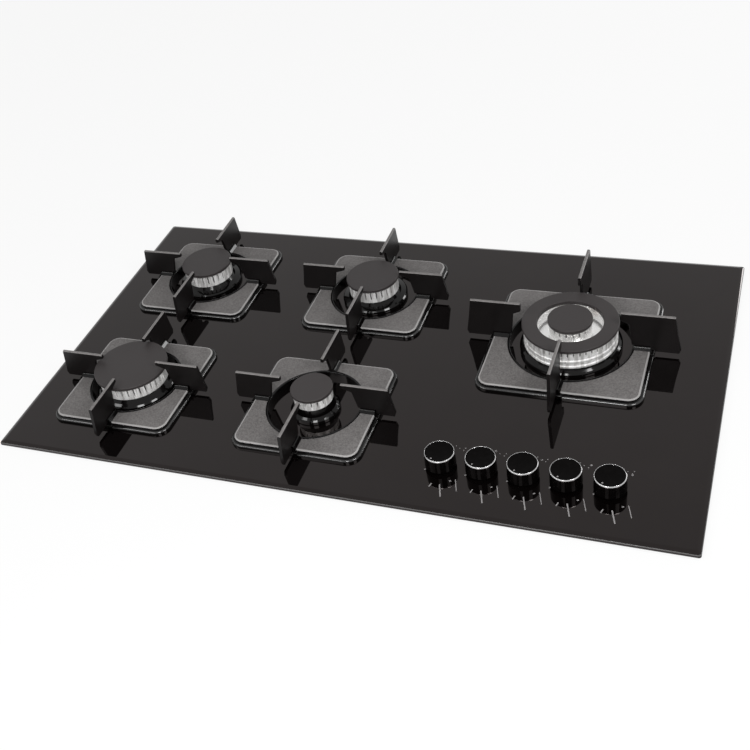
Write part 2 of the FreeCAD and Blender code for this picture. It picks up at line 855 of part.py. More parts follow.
def make_fins(name, burner, half, hole, fin):
    """The four upright fins that carry a pan, one on each rib of the plate."""
    body = new_body(f"pan_fins_{name}", burner.x, burner.y, GLASS_TOP)
    sketch = new_sketch(body, "XZ_Plane")
    rise = fin.top - S.rib_top
    toe = half + S.lip_width + S.fin_step_gap
    heel = half + S.fin_step_gap
    over_lip = S.lip_height + S.lip_rib_rise + S.fin_lip_gap
    bulge = [(fin.reach - lean * fin.lean, S.rib_top + share * rise) for lean, share in FIN_BULGE]
    draw_outline(sketch, [
        (fin.tip, fin.top), (fin.tip, fin.top - fin.tip_depth),
        (fin.tip + fin.neck, fin.top - fin.neck_depth), (hole - S.fin_nose_lap, S.rib_top),
        (heel, S.rib_top), (heel, over_lip), (toe, over_lip), (toe, S.fin_foot),
        (fin.reach - S.fin_toe, S.fin_foot), (fin.reach, S.rib_top - S.fin_heel_drop),
        *bulge, (fin.reach - fin.lean, fin.top),
    ])
    pattern(body, pad(body, sketch, S.fin_thick, both_ways=True), 4)


# ---------------------------------------------------------------- knobs and valves


# The dished top of a knob falls toward its middle: shares of the radius and of the dish.
DISH_CURVE = ((0.5, 0.75), (0.8, 0.35))


def make_knob(place, x):
    """A hollow knob with a hub, and the bright ring let into its top edge."""
    body = new_body(f"knob_{place}", x, KNOB_ROW_Y, GLASS_TOP)
    radius = S.knob_radius
    step = radius - S.ring_width
    crest = S.knob_top - S.ring_height / 4
    inside = radius - S.knob_wall
    curve = [(share * step, crest - drop * S.knob_dish) for share, drop in DISH_CURVE]
    ceiling = S.knob_top - S.knob_skin
    revolve(body, [
        (0, crest - S.knob_dish), *curve, (step, crest),
        (step, S.knob_top - S.ring_height), (radius, S.knob_top - S.ring_height),
        (radius + S.knob_flare, S.knob_lift), (inside + S.knob_flare, S.knob_lift),
        (inside, ceiling), (S.knob_hub, ceiling), (S.knob_hub, HUB_FOOT), (0, HUB_FOOT),
    ])
    key_socket(body, HUB_FOOT, ceiling - HUB_FOOT)
    ring = new_body(f"knob_ring_{place}", x, KNOB_ROW_Y, GLASS_TOP)
    inner = step + S.stem_gap
    seat = S.knob_top - S.ring_height
    bevel = S.ring_width / 4
    revolve(ring, [
        (inner, seat), (radius, seat), (radius, S.knob_top - bevel), (radius - bevel, S.knob_top),
        (inner + bevel, S.knob_top), (inner, S.knob_top - bevel),
    ])


def key_socket(body, bottom, depth):
    """A round socket with a flat on one side, which the flat of the stem drives."""
    bore = new_sketch(body, height=bottom)
    draw_circle(bore, 0, 0, S.stem_radius + S.stem_gap)
    pocket(body, bore, depth, upward=True)
    key = new_sketch(body, height=bottom)
    outside = S.stem_radius + 3 * S.stem_gap
    draw_box(key, S.stem_flat + S.stem_gap, -S.key_half, outside, S.key_half)
    pad(body, key, depth)


def make_stem(place, x):
    """The valve stem: flats at both ends and the collar that the spring lifts."""
    body = new_body(f"valve_stem_{place}", x, KNOB_ROW_Y)
    bottom = STEM_BORE_FLOOR + S.push_room
    top = GLASS_TOP + S.knob_top - S.knob_skin - S.rest_gap
    collar = COLLAR_TOP - S.collar_thick
    shaft = S.stem_radius
    revolve(body, [
        (0, bottom), (shaft, bottom), (shaft, collar), (S.collar_radius, collar),
        (S.collar_radius, COLLAR_TOP), (shaft, COLLAR_TOP), (shaft, top), (0, top),
    ])
    for height, depth in ((top, top - GLASS_TOP - HUB_FOOT + S.rest_gap), (collar, collar - bottom)):
        side = new_sketch(body, height=height)
        beyond = shaft + S.cut_margin
        draw_box(side, S.stem_flat, -beyond, beyond, beyond)
        pocket(body, side, depth)


def make_plug(place, x):
    """The turning plug of a valve, bored across for the gas and down for the stem."""
    body = new_body(f"valve_plug_{place}", x, KNOB_ROW_Y)
    bottom = S.valve_bottom + S.valve_floor
    pocket_radius = S.collar_radius + S.pocket_gap
    revolve(body, [
        (0, bottom), (S.plug_radius, bottom), (S.plug_radius, COLLAR_TOP),
        (pocket_radius, COLLAR_TOP), (pocket_radius, POCKET_FLOOR), (0, POCKET_FLOOR),
    ])
    key_socket(body, STEM_BORE_FLOOR, POCKET_FLOOR - STEM_BORE_FLOOR)
    way = new_sketch(body, "YZ_Plane")
    draw_circle(way, 0, S.gas_level, S.gas_passage)
    pocket(body, way)


def make_valve_bodies():
    """Five valve bodies in a row, each bored for its plug and the gas."""
    body = new_body("valve_bodies", KNOBS[0], KNOB_ROW_Y)
    half_x = S.valve_width / 2
    half_y = S.valve_length / 2
    block = new_sketch(body, height=S.valve_bottom)
    draw_box(block, -half_x, -half_y, half_x, half_y)
    pad(body, block, S.valve_height)
    bore = S.plug_radius + S.plug_gap
    neck = S.stem_radius + S.neck_gap
    roof = VALVE_TOP - S.valve_roof
    profile = new_sketch(body, "XZ_Plane")
    draw_outline(profile, [
        (0, S.valve_bottom + S.valve_floor), (bore, S.valve_bottom + S.valve_floor), (bore, roof),
        (neck, roof), (neck, VALVE_TOP + S.cut_margin), (0, VALVE_TOP + S.cut_margin),
    ])
    groove = body.newObject("PartDesign::Groove", "valve_bore")
    groove.Profile = profile
    groove.ReferenceAxis = (profile, ["V_Axis"])
    groove.Angle = 360
    way = new_sketch(body, "XZ_Plane")
    draw_circle(way, 0, S.gas_level, S.gas_passage)
    pattern(body, pocket(body, way), len(KNOBS), S.knob_pitch)


def tangent_arc(entry, corner, leave):
    """The arc between two points whose end tangents meet at a corner."""
    back = (entry - corner).normalize()
    ahead = (leave - corner).normalize()
    half_turn = (math.pi - back.getAngle(ahead)) / 2
    bend = (entry - corner).Length / math.tan(half_turn)
    crown = corner + (back + ahead).normalize() * (bend / math.cos(half_turn) - bend)
    return Part.Arc(entry, crown, leave).toShape()


def make_springs():
    """The coil springs that push the stems up again, each a helix of tangent arcs."""
    wire = float(S.spring_wire)
    radius = float(S.spring_radius)
    turns = SIZES["spring_turns"]
    height = float(S.spring_space) - 2 * wire - float(S.rest_gap)
    slope = height / turns / math.tau
    points = []
    tangents = []
    for quarter in range(4 * turns + 1):
        angle = quarter * math.pi / 2
        across, back = math.cos(angle), math.sin(angle)
        points.append(Vector(radius * across, radius * back, slope * angle))
        tangents.append(Vector(-radius * back, radius * across, slope).normalize())
    edges = []
    for start, end, ahead, after in zip(points, points[1:], tangents, tangents[1:]):
        chord = end - start
        along = chord.dot(ahead + after)
        turning = 2 * (1 - ahead.dot(after))
        reach = (math.sqrt(along**2 + turning * chord.dot(chord)) - along) / turning
        first_corner = start + ahead * reach
        second_corner = end - after * reach
        joint = (first_corner + second_corner) / 2
        edges.append(tangent_arc(start, first_corner, joint))
        edges.append(tangent_arc(joint, second_corner, end))
    path = Part.Wire(edges)
    section = Part.Wire(Part.makeCircle(wire, points[0], tangents[0]))
    coil = path.makePipeShell([section], True, False)
    print("spring volume", round(coil.Volume / (math.pi * wire**2 * path.Length), 4), "of its wire's")
    lift = float(POCKET_FLOOR) + wire + float(S.rest_gap) / 2
    add_shape("stem_springs", [coil.translated(Vector(float(x), float(KNOB_ROW_Y), lift)) for x in KNOBS])


def add_shape(label, solids):
    """A node whose solids are made in code."""
    node = doc.addObject("Part::Feature", label)
    node.Shape = Part.makeCompound(solids)
    node.Placement = Placement(Vector(0, 0, 0), Rotation())
    NODES.append(node)


# ---------------------------------------------------------------- gas line


def make_rail():
    """The square gas rail that the valves are bolted to."""
    first = KNOBS[0] - S.valve_width / 2 - S.rail_overhang
    body = new_body("gas_rail", first, RAIL_Y, S.gas_level)
    length = KNOBS[-1] - KNOBS[0] + S.valve_width + 2 * S.rail_overhang
    half = S.rail_side / 2
    core = half - S.rail_wall
    section = new_sketch(body, "YZ_Plane")
    draw_box(section, -half, -half, half, half)
    pad(body, section, length)
    hollow = new_sketch(body, "YZ_Plane", S.rail_wall)
    draw_box(hollow, -core, -core, core, core)
    pocket(body, hollow, length - 2 * S.rail_wall, upward=True)
    ports = new_sketch(body, "XZ_Plane")
    for x in KNOBS:
        draw_circle(ports, x - first, 0, S.gas_passage)
    pocket(body, ports, half)
    inlet = new_sketch(body, "YZ_Plane", length)
    draw_circle(inlet, 0, 0, S.supply_radius - S.tube_wall)
    pocket(body, inlet, 2 * S.rail_wall)


def make_tube(points, outer, bend):
    """A bent tube: straight runs joined by tangent arcs, bored along its length."""
    corners = [Vector(*(float(part) for part in point)) for point in points]
    edges = []
    start = corners[0]
    for before, corner, after in zip(corners, corners[1:], corners[2:]):
        back = (before - corner).normalize()
        ahead = (after - corner).normalize()
        half_turn = (math.pi - back.getAngle(ahead)) / 2
        reach = bend * math.tan(half_turn)
        entry = corner + back * reach
        leave = corner + ahead * reach
        edges += [Part.LineSegment(start, entry).toShape(), tangent_arc(entry, corner, leave)]
        start = leave
    edges.append(Part.LineSegment(start, corners[-1]).toShape())
    path = Part.Wire(edges)
    along = corners[1] - corners[0]
    tube = None
    for radius in (outer, outer - float(S.tube_wall)):
        ring = Part.Wire(Part.makeCircle(radius, corners[0], along))
        solid = path.makePipeShell([ring], True, False)
        tube = solid if tube is None else tube.cut(solid)
    return tube


def make_tubes():
    """One tube from each valve to its burner, and the supply tube to the rail."""
    level_z = S.gas_level
    start_y = KNOB_ROW_Y + S.valve_length / 2
    lead_y = start_y + S.tube_lead
    high = level_z + S.tube_rise
    ends = [burner.x + column_of(burner) + S.boss_length for burner in ALL_BURNERS]
    fl, fm, rl, rm, wok = ALL_BURNERS
    routes = [
        [
            (KNOBS[0], start_y, level_z), (KNOBS[0], lead_y, level_z),
            (S.last_turn + S.lane_slant, lead_y, level_z), (S.last_turn, fl.y, level_z),
            (ends[0], fl.y, level_z),
        ],
        [
            (KNOBS[1], start_y, level_z), (KNOBS[1], S.second_lane, level_z),
            (S.left_turn, S.second_lane, level_z), (S.left_turn, rl.y, level_z),
            (ends[2], rl.y, level_z),
        ],
        [
            (KNOBS[2], start_y, level_z), (KNOBS[2], S.third_lane, level_z),
            (S.middle_turn, S.third_lane, level_z), (S.middle_turn, rm.y, level_z),
            (ends[3], rm.y, level_z),
        ],
        [
            (KNOBS[3], start_y, level_z), (KNOBS[3], start_y + S.rise_lead, level_z),
            (KNOBS[3], start_y + S.rise_lead + S.tube_rise_run, high), (KNOBS[3], fm.y, high),
            (ends[1] + 2 * S.tube_rise_run, fm.y, high), (ends[1] + S.tube_rise_run, fm.y, level_z),
            (ends[1], fm.y, level_z),
        ],
        [
            (KNOBS[4], start_y, level_z), (KNOBS[4], wok.y, level_z), (ends[4], wok.y, level_z),
        ],
    ]
    tubes = [make_tube(route, float(S.tube_radius), float(S.tube_bend)) for route in routes]
    rail_end = KNOBS[-1] + S.valve_width / 2 + S.rail_overhang
    supply = [
        (rail_end, RAIL_Y, level_z), (S.inlet_side, RAIL_Y, level_z),
        (S.inlet_side, S.elbow_back - S.elbow_size / 2, level_z),
    ]
    tubes.append(make_tube(supply, float(S.supply_radius), float(S.supply_bend)))
    add_shape("gas_tubes", tubes)


def make_elbow():
    """The gas inlet: a block in the tray with its thread out through the rear wall."""
    body = new_body("inlet_elbow", S.inlet_side, S.elbow_back, S.gas_level)
    half = S.elbow_size / 2
    bottom = new_sketch(body, height=-half)
    draw_box(bottom, -half, -half, half, half)
    pad(body, bottom, S.elbow_size)
    shoulder = S.tray_depth / 2 + S.inlet_nut - S.elbow_back
    for radius, outside in ((S.inlet_neck, shoulder), (S.inlet_thread, shoulder + S.inlet_length)):
        round_part = new_sketch(body, "XZ_Plane", -outside)
        draw_circle(round_part, 0, 0, radius)
        pad(body, round_part, outside)
    way = new_sketch(body, "XZ_Plane")
    draw_circle(way, 0, 0, S.supply_radius - S.tube_wall)
    pocket(body, way)


# ---------------------------------------------------------------- electrics and fixings


def make_module():
    """The spark generator, with an ear at each end and a pin for each lead."""
    body = new_body("ignition_module", S.module_x, S.module_y, S.tray_thick)
    half_x = S.module_length / 2
    half_y = S.module_width / 2
    case = new_sketch(body)
    draw_rounded_box(case, half_x, half_y, S.module_round)
    pad(body, case, S.module_height)
    ears = new_sketch(body)
    ear_x = half_x + 2 * S.screw_head
    draw_box(ears, -ear_x, -2 * S.screw_head, ear_x, 2 * S.screw_head)
    pad(body, ears, S.foot_thick)
    holes = new_sketch(body)
    for side in (-1, 1):
        draw_circle(holes, side * (half_x + S.screw_head), 0, S.screw_radius + S.screw_gap)
    pocket(body, holes)
    pins = new_sketch(body, height=S.module_height)
    for place in range(5):
        draw_circle(pins, S.module_length / 6 * (place - 2), 0, S.plug_pin_radius)
    pad(body, pins, S.plug_pin_length)


def make_terminal():
    """The mains terminal box, with its cable gland out through the rear wall."""
    back = S.tray_depth / 2 - S.tray_thick
    body = new_body("mains_terminal", S.terminal_x, back, S.tray_thick)
    half = S.terminal_length / 2
    case = new_sketch(body)
    draw_box(case, -half, -S.terminal_width, half, 0)
    pad(body, case, S.terminal_height)
    rise = S.gas_level - S.tray_thick
    gland = new_sketch(body, "XZ_Plane", -S.gland_length)
    draw_circle(gland, 0, rise, S.gland_radius)
    pad(body, gland, S.gland_length + S.cut_margin)
    way = new_sketch(body, "XZ_Plane", -S.gland_length)
    draw_circle(way, 0, rise, S.gland_radius / 2)
    pocket(body, way, S.gland_length + S.terminal_width / 2, upward=True)


def make_clamps():
    """Four angle clamps on the side walls, whose arms pass under the worktop."""
    body = new_body("worktop_clamps", z=S.clamp_level)
    wall = S.tray_width / 2
    thick = S.clamp_thick
    for y in clamp_places():
        sketch = new_sketch(body, "XZ_Plane", -y)
        for side in (1, -1):
            draw_outline(sketch, [
                (side * wall, 0), (side * (wall + S.clamp_reach), 0),
                (side * (wall + S.clamp_reach), thick), (side * (wall + thick), thick),
                (side * (wall + thick), S.clamp_height), (side * wall, S.clamp_height),
            ])
        pad(body, sketch, S.clamp_width, both_ways=True)
    holes = new_sketch(body, "YZ_Plane")
    for y in clamp_places():
        draw_circle(holes, y, S.clamp_height / 2, S.screw_radius + S.screw_gap)
    pocket(body, holes)


def make_screws():
    """The small screws: upright ones in the tray floor, level ones in the clamps."""
    body = new_body("screws")
    seat = S.tray_thick + S.foot_thick
    for radius, bottom, height in (
        (S.screw_head, seat, S.screw_head_height),
        (S.screw_radius, S.screw_gap, seat - S.screw_gap),
    ):
        sketch = new_sketch(body, height=bottom)
        for x, y in floor_screw_places():
            draw_circle(sketch, x, y, radius)
        pad(body, sketch, height)
    wall = S.tray_width / 2
    outside = wall + S.clamp_thick
    inside = wall - S.tray_thick - 2 * S.screw_head_height
    for radius, start, length in (
        (S.screw_head, outside, S.screw_head_height), (S.screw_radius, inside, outside - inside),
    ):
        for plane_height in (start, -start - length):
            sketch = new_sketch(body, "YZ_Plane", plane_height)
            for y in clamp_places():
                draw_circle(sketch, y, S.clamp_level + S.clamp_height / 2, radius)
            pad(body, sketch, length)


# ---------------------------------------------------------------- the whole cooktop

make_glass()
make_seal()
make_tray()

make_base("burner_base_front_left", BURNERS["front_left"])
make_base("burner_base_front_middle", BURNERS["front_middle"])
rear_holes = make_base("burner_bases_rear", BURNERS["rear_left"])
pattern(NODES[-1], rear_holes, 2, S.middle_column - S.left_column)
make_base("burner_base_wok", WOK)

small_fin = SimpleNamespace(
    top=S.fin_top, tip=S.fin_tip, tip_depth=S.fin_tip_depth, neck=S.fin_neck,
    neck_depth=S.fin_neck_depth, reach=S.fin_reach, lean=S.fin_lean,
)
wok_fin = SimpleNamespace(
    top=S.wok_fin_top, tip=S.wok_fin_tip, tip_depth=S.wok_fin_tip_depth, neck=S.wok_fin_neck,
    neck_depth=S.wok_fin_neck_depth, reach=S.wok_fin_reach, lean=S.wok_fin_lean,
)
for burner_name, burner_here in BURNERS.items():
    make_crown(burner_name, burner_here)
    make_cap(
        f"burner_cap_{burner_name}", burner_here, burner_here.cap, burner_here.crown,
        S.crown_top, S.cap_thick,
    )
    make_plate(burner_name, burner_here, S.plate_half, S.plate_hole)
    make_fins(burner_name, burner_here, S.plate_half, S.plate_hole, small_fin)
make_wok_crown()
make_wok_ring()
make_cap(
    "burner_cap_wok_centre", WOK, S.centre_cap, S.trough_inner, S.centre_crown_top,
    S.centre_cap_thick,
)
make_plate("wok", WOK, S.wok_plate_half, S.wok_plate_hole)
make_fins("wok", WOK, S.wok_plate_half, S.wok_plate_hole, wok_fin)
make_injectors()
for rod_label, rod_turn in ROD_TURNS.items():
    make_rods(rod_label, rod_turn)

for number, knob_x in enumerate(KNOBS, 1):
    make_knob(number, knob_x)
    make_stem(number, knob_x)
    make_plug(number, knob_x)
make_valve_bodies()
make_springs()
make_rail()
make_tubes()
make_elbow()
make_module()
make_terminal()
make_clamps()
make_screws()
doc.recompute()

# ---------------------------------------------------------------- checks and files

for item in doc.Objects:
    if "Invalid" in item.State or "Error" in item.State:
        raise RuntimeError(f"{item.Label} failed: {item.getStatusString()}")
    if item.TypeId in ("PartDesign::Pocket", "PartDesign::Groove"):
        if item.Shape.Volume > item.BaseFeature.Shape.Volume - 0.01:
            raise RuntimeError(f"{item.Label} cuts nothing")
for node in NODES:
    if node.Shape.isNull() or not node.Shape.isValid():
        raise RuntimeError(f"{node.Label} has no valid shape")

os.makedirs("parts", exist_ok=True)
for node in NODES:
    node.Shape.exportStep(f"parts/{node.Label}.step")
    print(node.Label, len(node.Shape.Solids), "solids", round(node.Shape.Volume), "mm3")
print(len(NODES), "nodes")
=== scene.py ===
import math

import bmesh
import bpy
from mathutils import Matrix, Vector


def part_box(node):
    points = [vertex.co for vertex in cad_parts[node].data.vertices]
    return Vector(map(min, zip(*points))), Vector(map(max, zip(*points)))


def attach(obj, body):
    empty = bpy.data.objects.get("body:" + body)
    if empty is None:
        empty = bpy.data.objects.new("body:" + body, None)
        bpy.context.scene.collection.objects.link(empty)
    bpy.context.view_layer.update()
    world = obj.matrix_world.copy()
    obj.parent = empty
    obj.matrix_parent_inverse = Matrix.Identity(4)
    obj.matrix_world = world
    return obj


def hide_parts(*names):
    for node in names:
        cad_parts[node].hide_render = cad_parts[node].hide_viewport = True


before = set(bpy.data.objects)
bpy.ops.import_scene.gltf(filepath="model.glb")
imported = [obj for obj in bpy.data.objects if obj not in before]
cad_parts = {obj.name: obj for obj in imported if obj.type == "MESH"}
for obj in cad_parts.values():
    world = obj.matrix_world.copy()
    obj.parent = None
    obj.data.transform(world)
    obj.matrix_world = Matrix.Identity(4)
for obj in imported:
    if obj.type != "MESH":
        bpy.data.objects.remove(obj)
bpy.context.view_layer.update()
MM = 0.001  # sizes are written in millimetres, and the frame is in metres

# ---------------------------------------------------------------- glass plate
# Toughened black glass, cut to a rectangle and drilled for the burners and valve stems.
# Its top edges have a wide shallow polished bevel, and its other arrises are ground.

BLACK_GLASS = (0.0014, 0.0009, 0.0009)
GLASS_MIRROR = (1.0, 0.88, 0.86)
BEVEL_WIDTH = 5.5
BEVEL_DROP = 1.8
GLASS_CORNER = 3
ARRIS = 0.8
SOFTENING = 0.4
BURNER_HOLES = {
    "front_left": 49, "front_middle": 28, "rear_left": 41.5, "rear_middle": 41.5, "wok": 60,
}
BURNERS = tuple(BURNER_HOLES)
KNOBS = range(1, 6)
STEM_HOLE = 4
SAME_POINT = 0.002
HELD_CLEAR = 100
SMOOTH_BELOW = 32  # degrees
GLASS_CREASE = 50  # degrees
HOLE_STEPS = 64


class Wire:
    """The output of a shader node. Python's operators on it add Math nodes."""

    def __init__(self, paint, socket):
        self.paint = paint
        self.socket = socket

    def maths(self, operation, first, second):
        return self.paint.node("Math", {"operation": operation}, [first, second])

    def __add__(self, other):
        return self.maths("ADD", self, other)

    def __radd__(self, other):
        return self.maths("ADD", other, self)

    def __sub__(self, other):
        return self.maths("SUBTRACT", self, other)

    def __rsub__(self, other):
        return self.maths("SUBTRACT", other, self)

    def __mul__(self, other):
        return self.maths("MULTIPLY", self, other)

    def __rmul__(self, other):
        return self.maths("MULTIPLY", other, self)

    def between(self, low, high):
        """0 at low and below, 1 at high and above, with a soft step between."""
        values = {"Value": self, "From Min": low, "From Max": high}
        return self.paint.node("MapRange", {"interpolation_type": "SMOOTHSTEP"}, values)


class Paint:
    """A finish on the Principled shader, and one method for every other node."""

    def __init__(self, name):
        self.material = bpy.data.materials.new(name)
        self.material.use_nodes = True
        self.tree = self.material.node_tree
        self.shader = self.tree.nodes["Principled BSDF"]
        self.place = self.node("TexCoord", {}, [], "Object")

    def node(self, kind, settings, values, output=0):
        made = self.tree.nodes.new(f"ShaderNode{kind}")
        for name, setting in settings.items():
            setattr(made, name, setting)
        self.feed(made, values)
        return Wire(self, made.outputs[output])

    def feed(self, made, values):
        pairs = values.items() if isinstance(values, dict) else enumerate(values)
        for key, value in pairs:
            if isinstance(value, Wire):
                self.tree.links.new(value.socket, made.inputs[key])
            elif made.inputs[key].type == "RGBA":
                made.inputs[key].default_value = (*value, 1)
            else:
                made.inputs[key].default_value = value

    def noise(self, size, detail=2.0, stretch=(1, 1, 1)):
        """Cloudy noise about 0.5, with blotches of a size in millimetres, or drawn out."""
        scale = [1 / (size * part * MM) for part in stretch]
        place = self.node("Mapping", {}, {"Vector": self.place, "Scale": scale})
        return self.node("TexNoise", {}, {"Vector": place, "Scale": 1.0, "Detail": detail})

    def mix(self, factor, first, second):
        values = {0: factor, 6: first, 7: second}
        return self.node("Mix", {"data_type": "RGBA"}, values, 2)

    def bump(self, height, depth, strength=1.0):
        """Relief of a depth in millimetres."""
        values = {"Height": height, "Distance": depth * MM, "Strength": strength}
        return self.node("Bump", {}, values)

    def shade(self, values):
        self.feed(self.shader, values)
        return self


def move(mesh, verts, *shift):
    """Shift vertices by so many millimetres."""
    bmesh.ops.translate(mesh, vec=[part * MM for part in shift], verts=verts)


def rim(mesh, half_x, half_y, corner, height):
    """A level loop of edges: a rectangle with rounded corners."""
    before = set(mesh.edges)
    grid = bmesh.ops.create_grid(mesh, x_segments=1, y_segments=1, size=MM)["verts"]
    bmesh.ops.scale(mesh, vec=(half_x, half_y, 1), verts=grid)
    move(mesh, grid, 0, 0, height)
    bmesh.ops.bevel(
        mesh, geom=grid, offset=corner * MM, affect="VERTICES", segments=8, profile=0.5,
        material=-1,
    )
    made = [edge for edge in mesh.edges if edge not in before]
    faces = {face for edge in made for face in edge.link_faces}
    bmesh.ops.delete(mesh, geom=list(faces), context="FACES_ONLY")
    return made


def hoop(mesh, radius, height, x=0, y=0, steps=96):
    """A level loop of edges: a circle."""
    verts = bmesh.ops.create_circle(mesh, radius=radius * MM, segments=steps)["verts"]
    move(mesh, verts, x, y, height)
    return list({edge for vert in verts for edge in vert.link_edges})


def wall(mesh, *loops):
    """Bridge each loop to the next, and give back the faces.

    The second loop is held well clear meanwhile, as loops at one height bridge crosswise.
    """
    faces = []
    for first, second in zip(loops, loops[1:]):
        corners = list({vert for edge in second for vert in edge.verts})
        move(mesh, corners, 0, 0, HELD_CLEAR)
        faces += bmesh.ops.bridge_loops(mesh, edges=first + second)["faces"]
        move(mesh, corners, 0, 0, -HELD_CLEAR)
    return faces


def sheet_between(mesh, *loops):
    """Fill a level face inside the first loop and outside the others."""
    edges = [edge for loop in loops for edge in loop]
    made = bmesh.ops.triangle_fill(mesh, edges=edges, use_beauty=True)["geom"]
    return [item for item in made if isinstance(item, bmesh.types.BMFace)]


def round_off(mesh, edges, offset, steps=3):
    """Round a set of edges, and give back the faces of the rounding."""
    made = bmesh.ops.bevel(
        mesh, geom=edges, offset=offset * MM, affect="EDGES", segments=steps, profile=0.5,
        material=-1, clamp_overlap=True,
    )
    return made["faces"]


def repaint(faces, index):
    """Give faces another of the piece's finishes."""
    for face in faces:
        face.material_index = index


def object_of(name, mesh, paints, crease=SMOOTH_BELOW):
    """Make an object of a mesh, smooth but for its sharp edges."""
    bmesh.ops.remove_doubles(mesh, verts=mesh.verts, dist=SAME_POINT * MM)
    bmesh.ops.recalc_face_normals(mesh, faces=mesh.faces)
    for face in mesh.faces:
        face.smooth = True
    for edge in mesh.edges:
        edge.smooth = edge.calc_face_angle(0) < math.radians(crease)
    data = bpy.data.meshes.new(name)
    mesh.to_mesh(data)
    mesh.free()
    for paint in paints:
        data.materials.append(paint.material)
    made = bpy.data.objects.new(name, data)
    bpy.context.scene.collection.objects.link(made)
    return made


def finish_piece(name, mesh, paints, body, crease=SMOOTH_BELOW):
    """Make a piece of the cooktop of a mesh, and fix it to a body."""
    made = object_of(name, mesh, paints, crease)
    shading = made.modifiers.new("Even shading", "WEIGHTED_NORMAL")
    shading.keep_sharp = True
    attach(made, body)
    return made


def box_of(node):
    """The low and high corners of a CAD node."""
    return [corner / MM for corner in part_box(node)]


def centre_of(node):
    """The middle of a CAD node, seen from above."""
    low, high = box_of(node)
    return (low.x + high.x) / 2, (low.y + high.y) / 2


def burner_centre(name):
    """The middle of a burner, seen from above."""
    return centre_of("burner_cap_wok_ring" if name == "wok" else f"burner_cap_{name}")


glass = Paint("black glass")
haze = glass.noise(60, 3).between(0.35, 0.75)
glass.shade({
    "Base Color": glass.mix(haze, BLACK_GLASS, (0.0024, 0.0018, 0.0018)),
    "Roughness": 0.02 + 0.03 * haze,
    "IOR": 1.45,
    "Specular Tint": GLASS_MIRROR,
})

ground_edge = Paint("ground glass edge")
grinding = ground_edge.noise(0.8, 2)
ground_edge.shade({
    "Base Color": ground_edge.mix(grinding, (0.050, 0.047, 0.047), (0.085, 0.081, 0.081)),
    "Roughness": 0.30 + 0.10 * grinding,
})

glass_low, glass_high = box_of("glass_top")
half_width = (glass_high.x - glass_low.x) / 2
half_depth = (glass_high.y - glass_low.y) / 2
GLASS_TOP = glass_high.z
SHOULDER = GLASS_TOP - BEVEL_DROP
SLOPE = BEVEL_DROP / BEVEL_WIDTH
mesh = bmesh.new()
edge_section = [
    # distance in from the outline, height
    (ARRIS, glass_low.z), (0, glass_low.z + ARRIS), (0, SHOULDER - ARRIS),
    (ARRIS, SHOULDER + SLOPE * ARRIS), (BEVEL_WIDTH - SOFTENING, GLASS_TOP - SLOPE * SOFTENING),
    (BEVEL_WIDTH + SOFTENING, GLASS_TOP),
]
rims = [rim(mesh, half_width - inset, half_depth - inset, GLASS_CORNER, height)
        for inset, height in edge_section]
strips = [wall(mesh, *pair) for pair in zip(rims, rims[1:])]
repaint(strips[0] + strips[2], 1)
drilled = [(*burner_centre(name), radius) for name, radius in BURNER_HOLES.items()]
drilled += [(*centre_of(f"knob_{number}"), STEM_HOLE) for number in KNOBS]
lower_holes = [hoop(mesh, radius, glass_low.z, x, y, HOLE_STEPS) for x, y, radius in drilled]
upper_holes = [hoop(mesh, radius, GLASS_TOP, x, y, HOLE_STEPS) for x, y, radius in drilled]
for below, above in zip(lower_holes, upper_holes):
    wall(mesh, below, above)
sheet_between(mesh, rims[-1], *upper_holes)
sheet_between(mesh, rims[0], *lower_holes)
plate = finish_piece(
    "bevelled_glass", mesh, [glass, ground_edge], "root", GLASS_CREASE
)
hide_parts("glass_top")

# ---------------------------------------------------------------- seal, tray and clamps
# A strip of closed-cell foam seals the glass to the worktop. The tray below is folded
# from zinc-coated sheet, and four angle clamps on its walls grip the worktop from below.

FOAM = (0.022, 0.022, 0.024)
ZINC = (0.42, 0.43, 0.44)
SPANGLE = 9


def coat(paint, *nodes):
    """Give CAD nodes a finish."""
    for node in nodes:
        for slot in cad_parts[node].material_slots:
            slot.material = paint.material


foam = Paint("closed-cell foam")
cells = foam.noise(0.8, 3)
foam.shade({
    "Base Color": foam.mix(cells, FOAM, (0.035, 0.035, 0.037)),
    "Roughness": 0.9,
    "Normal": foam.bump(cells, 0.4),
})

zinc_sheet = Paint("zinc-coated sheet")
flakes = zinc_sheet.node(
    "TexVoronoi", {"feature": "F1"},
    {"Vector": zinc_sheet.place, "Scale": 1 / (SPANGLE * MM)}, "Color",
)
flake = zinc_sheet.node("SeparateColor", {}, [flakes])
stain = zinc_sheet.noise(70, 3)
zinc_sheet.shade({
    "Base Color": zinc_sheet.mix(
        0.55 * flake + 0.35 * stain, (0.36, 0.37, 0.38), (0.52, 0.53, 0.54)
    ),
    "Metallic": 1.0,
    "Roughness": 0.3 + 0.16 * flake + 0.08 * stain,
    "Normal": zinc_sheet.bump(flake, 0.05, 0.4),
})

zinc_fixing = Paint("zinc-plated steel")
mottle = zinc_fixing.noise(3, 4)
zinc_fixing.shade({
    "Base Color": zinc_fixing.mix(mottle, ZINC, (0.56, 0.56, 0.54)),
    "Metallic": 1.0,
    "Roughness": 0.28 + 0.2 * mottle,
})

coat(foam, "edge_seal")
coat(zinc_sheet, "bottom_tray")
coat(zinc_fixing, "worktop_clamps", "screws", "gas_rail")

# ---------------------------------------------------------------- burner bases
# Each base is an aluminium casting that stands on the tray, comes up through the glass
# and laps it with a skirt. Its outside has the same glossy black enamel as the plates.

ENAMEL_BLACK = (0.0022, 0.0018, 0.0018)
ENAMEL_MIRROR = 0.27

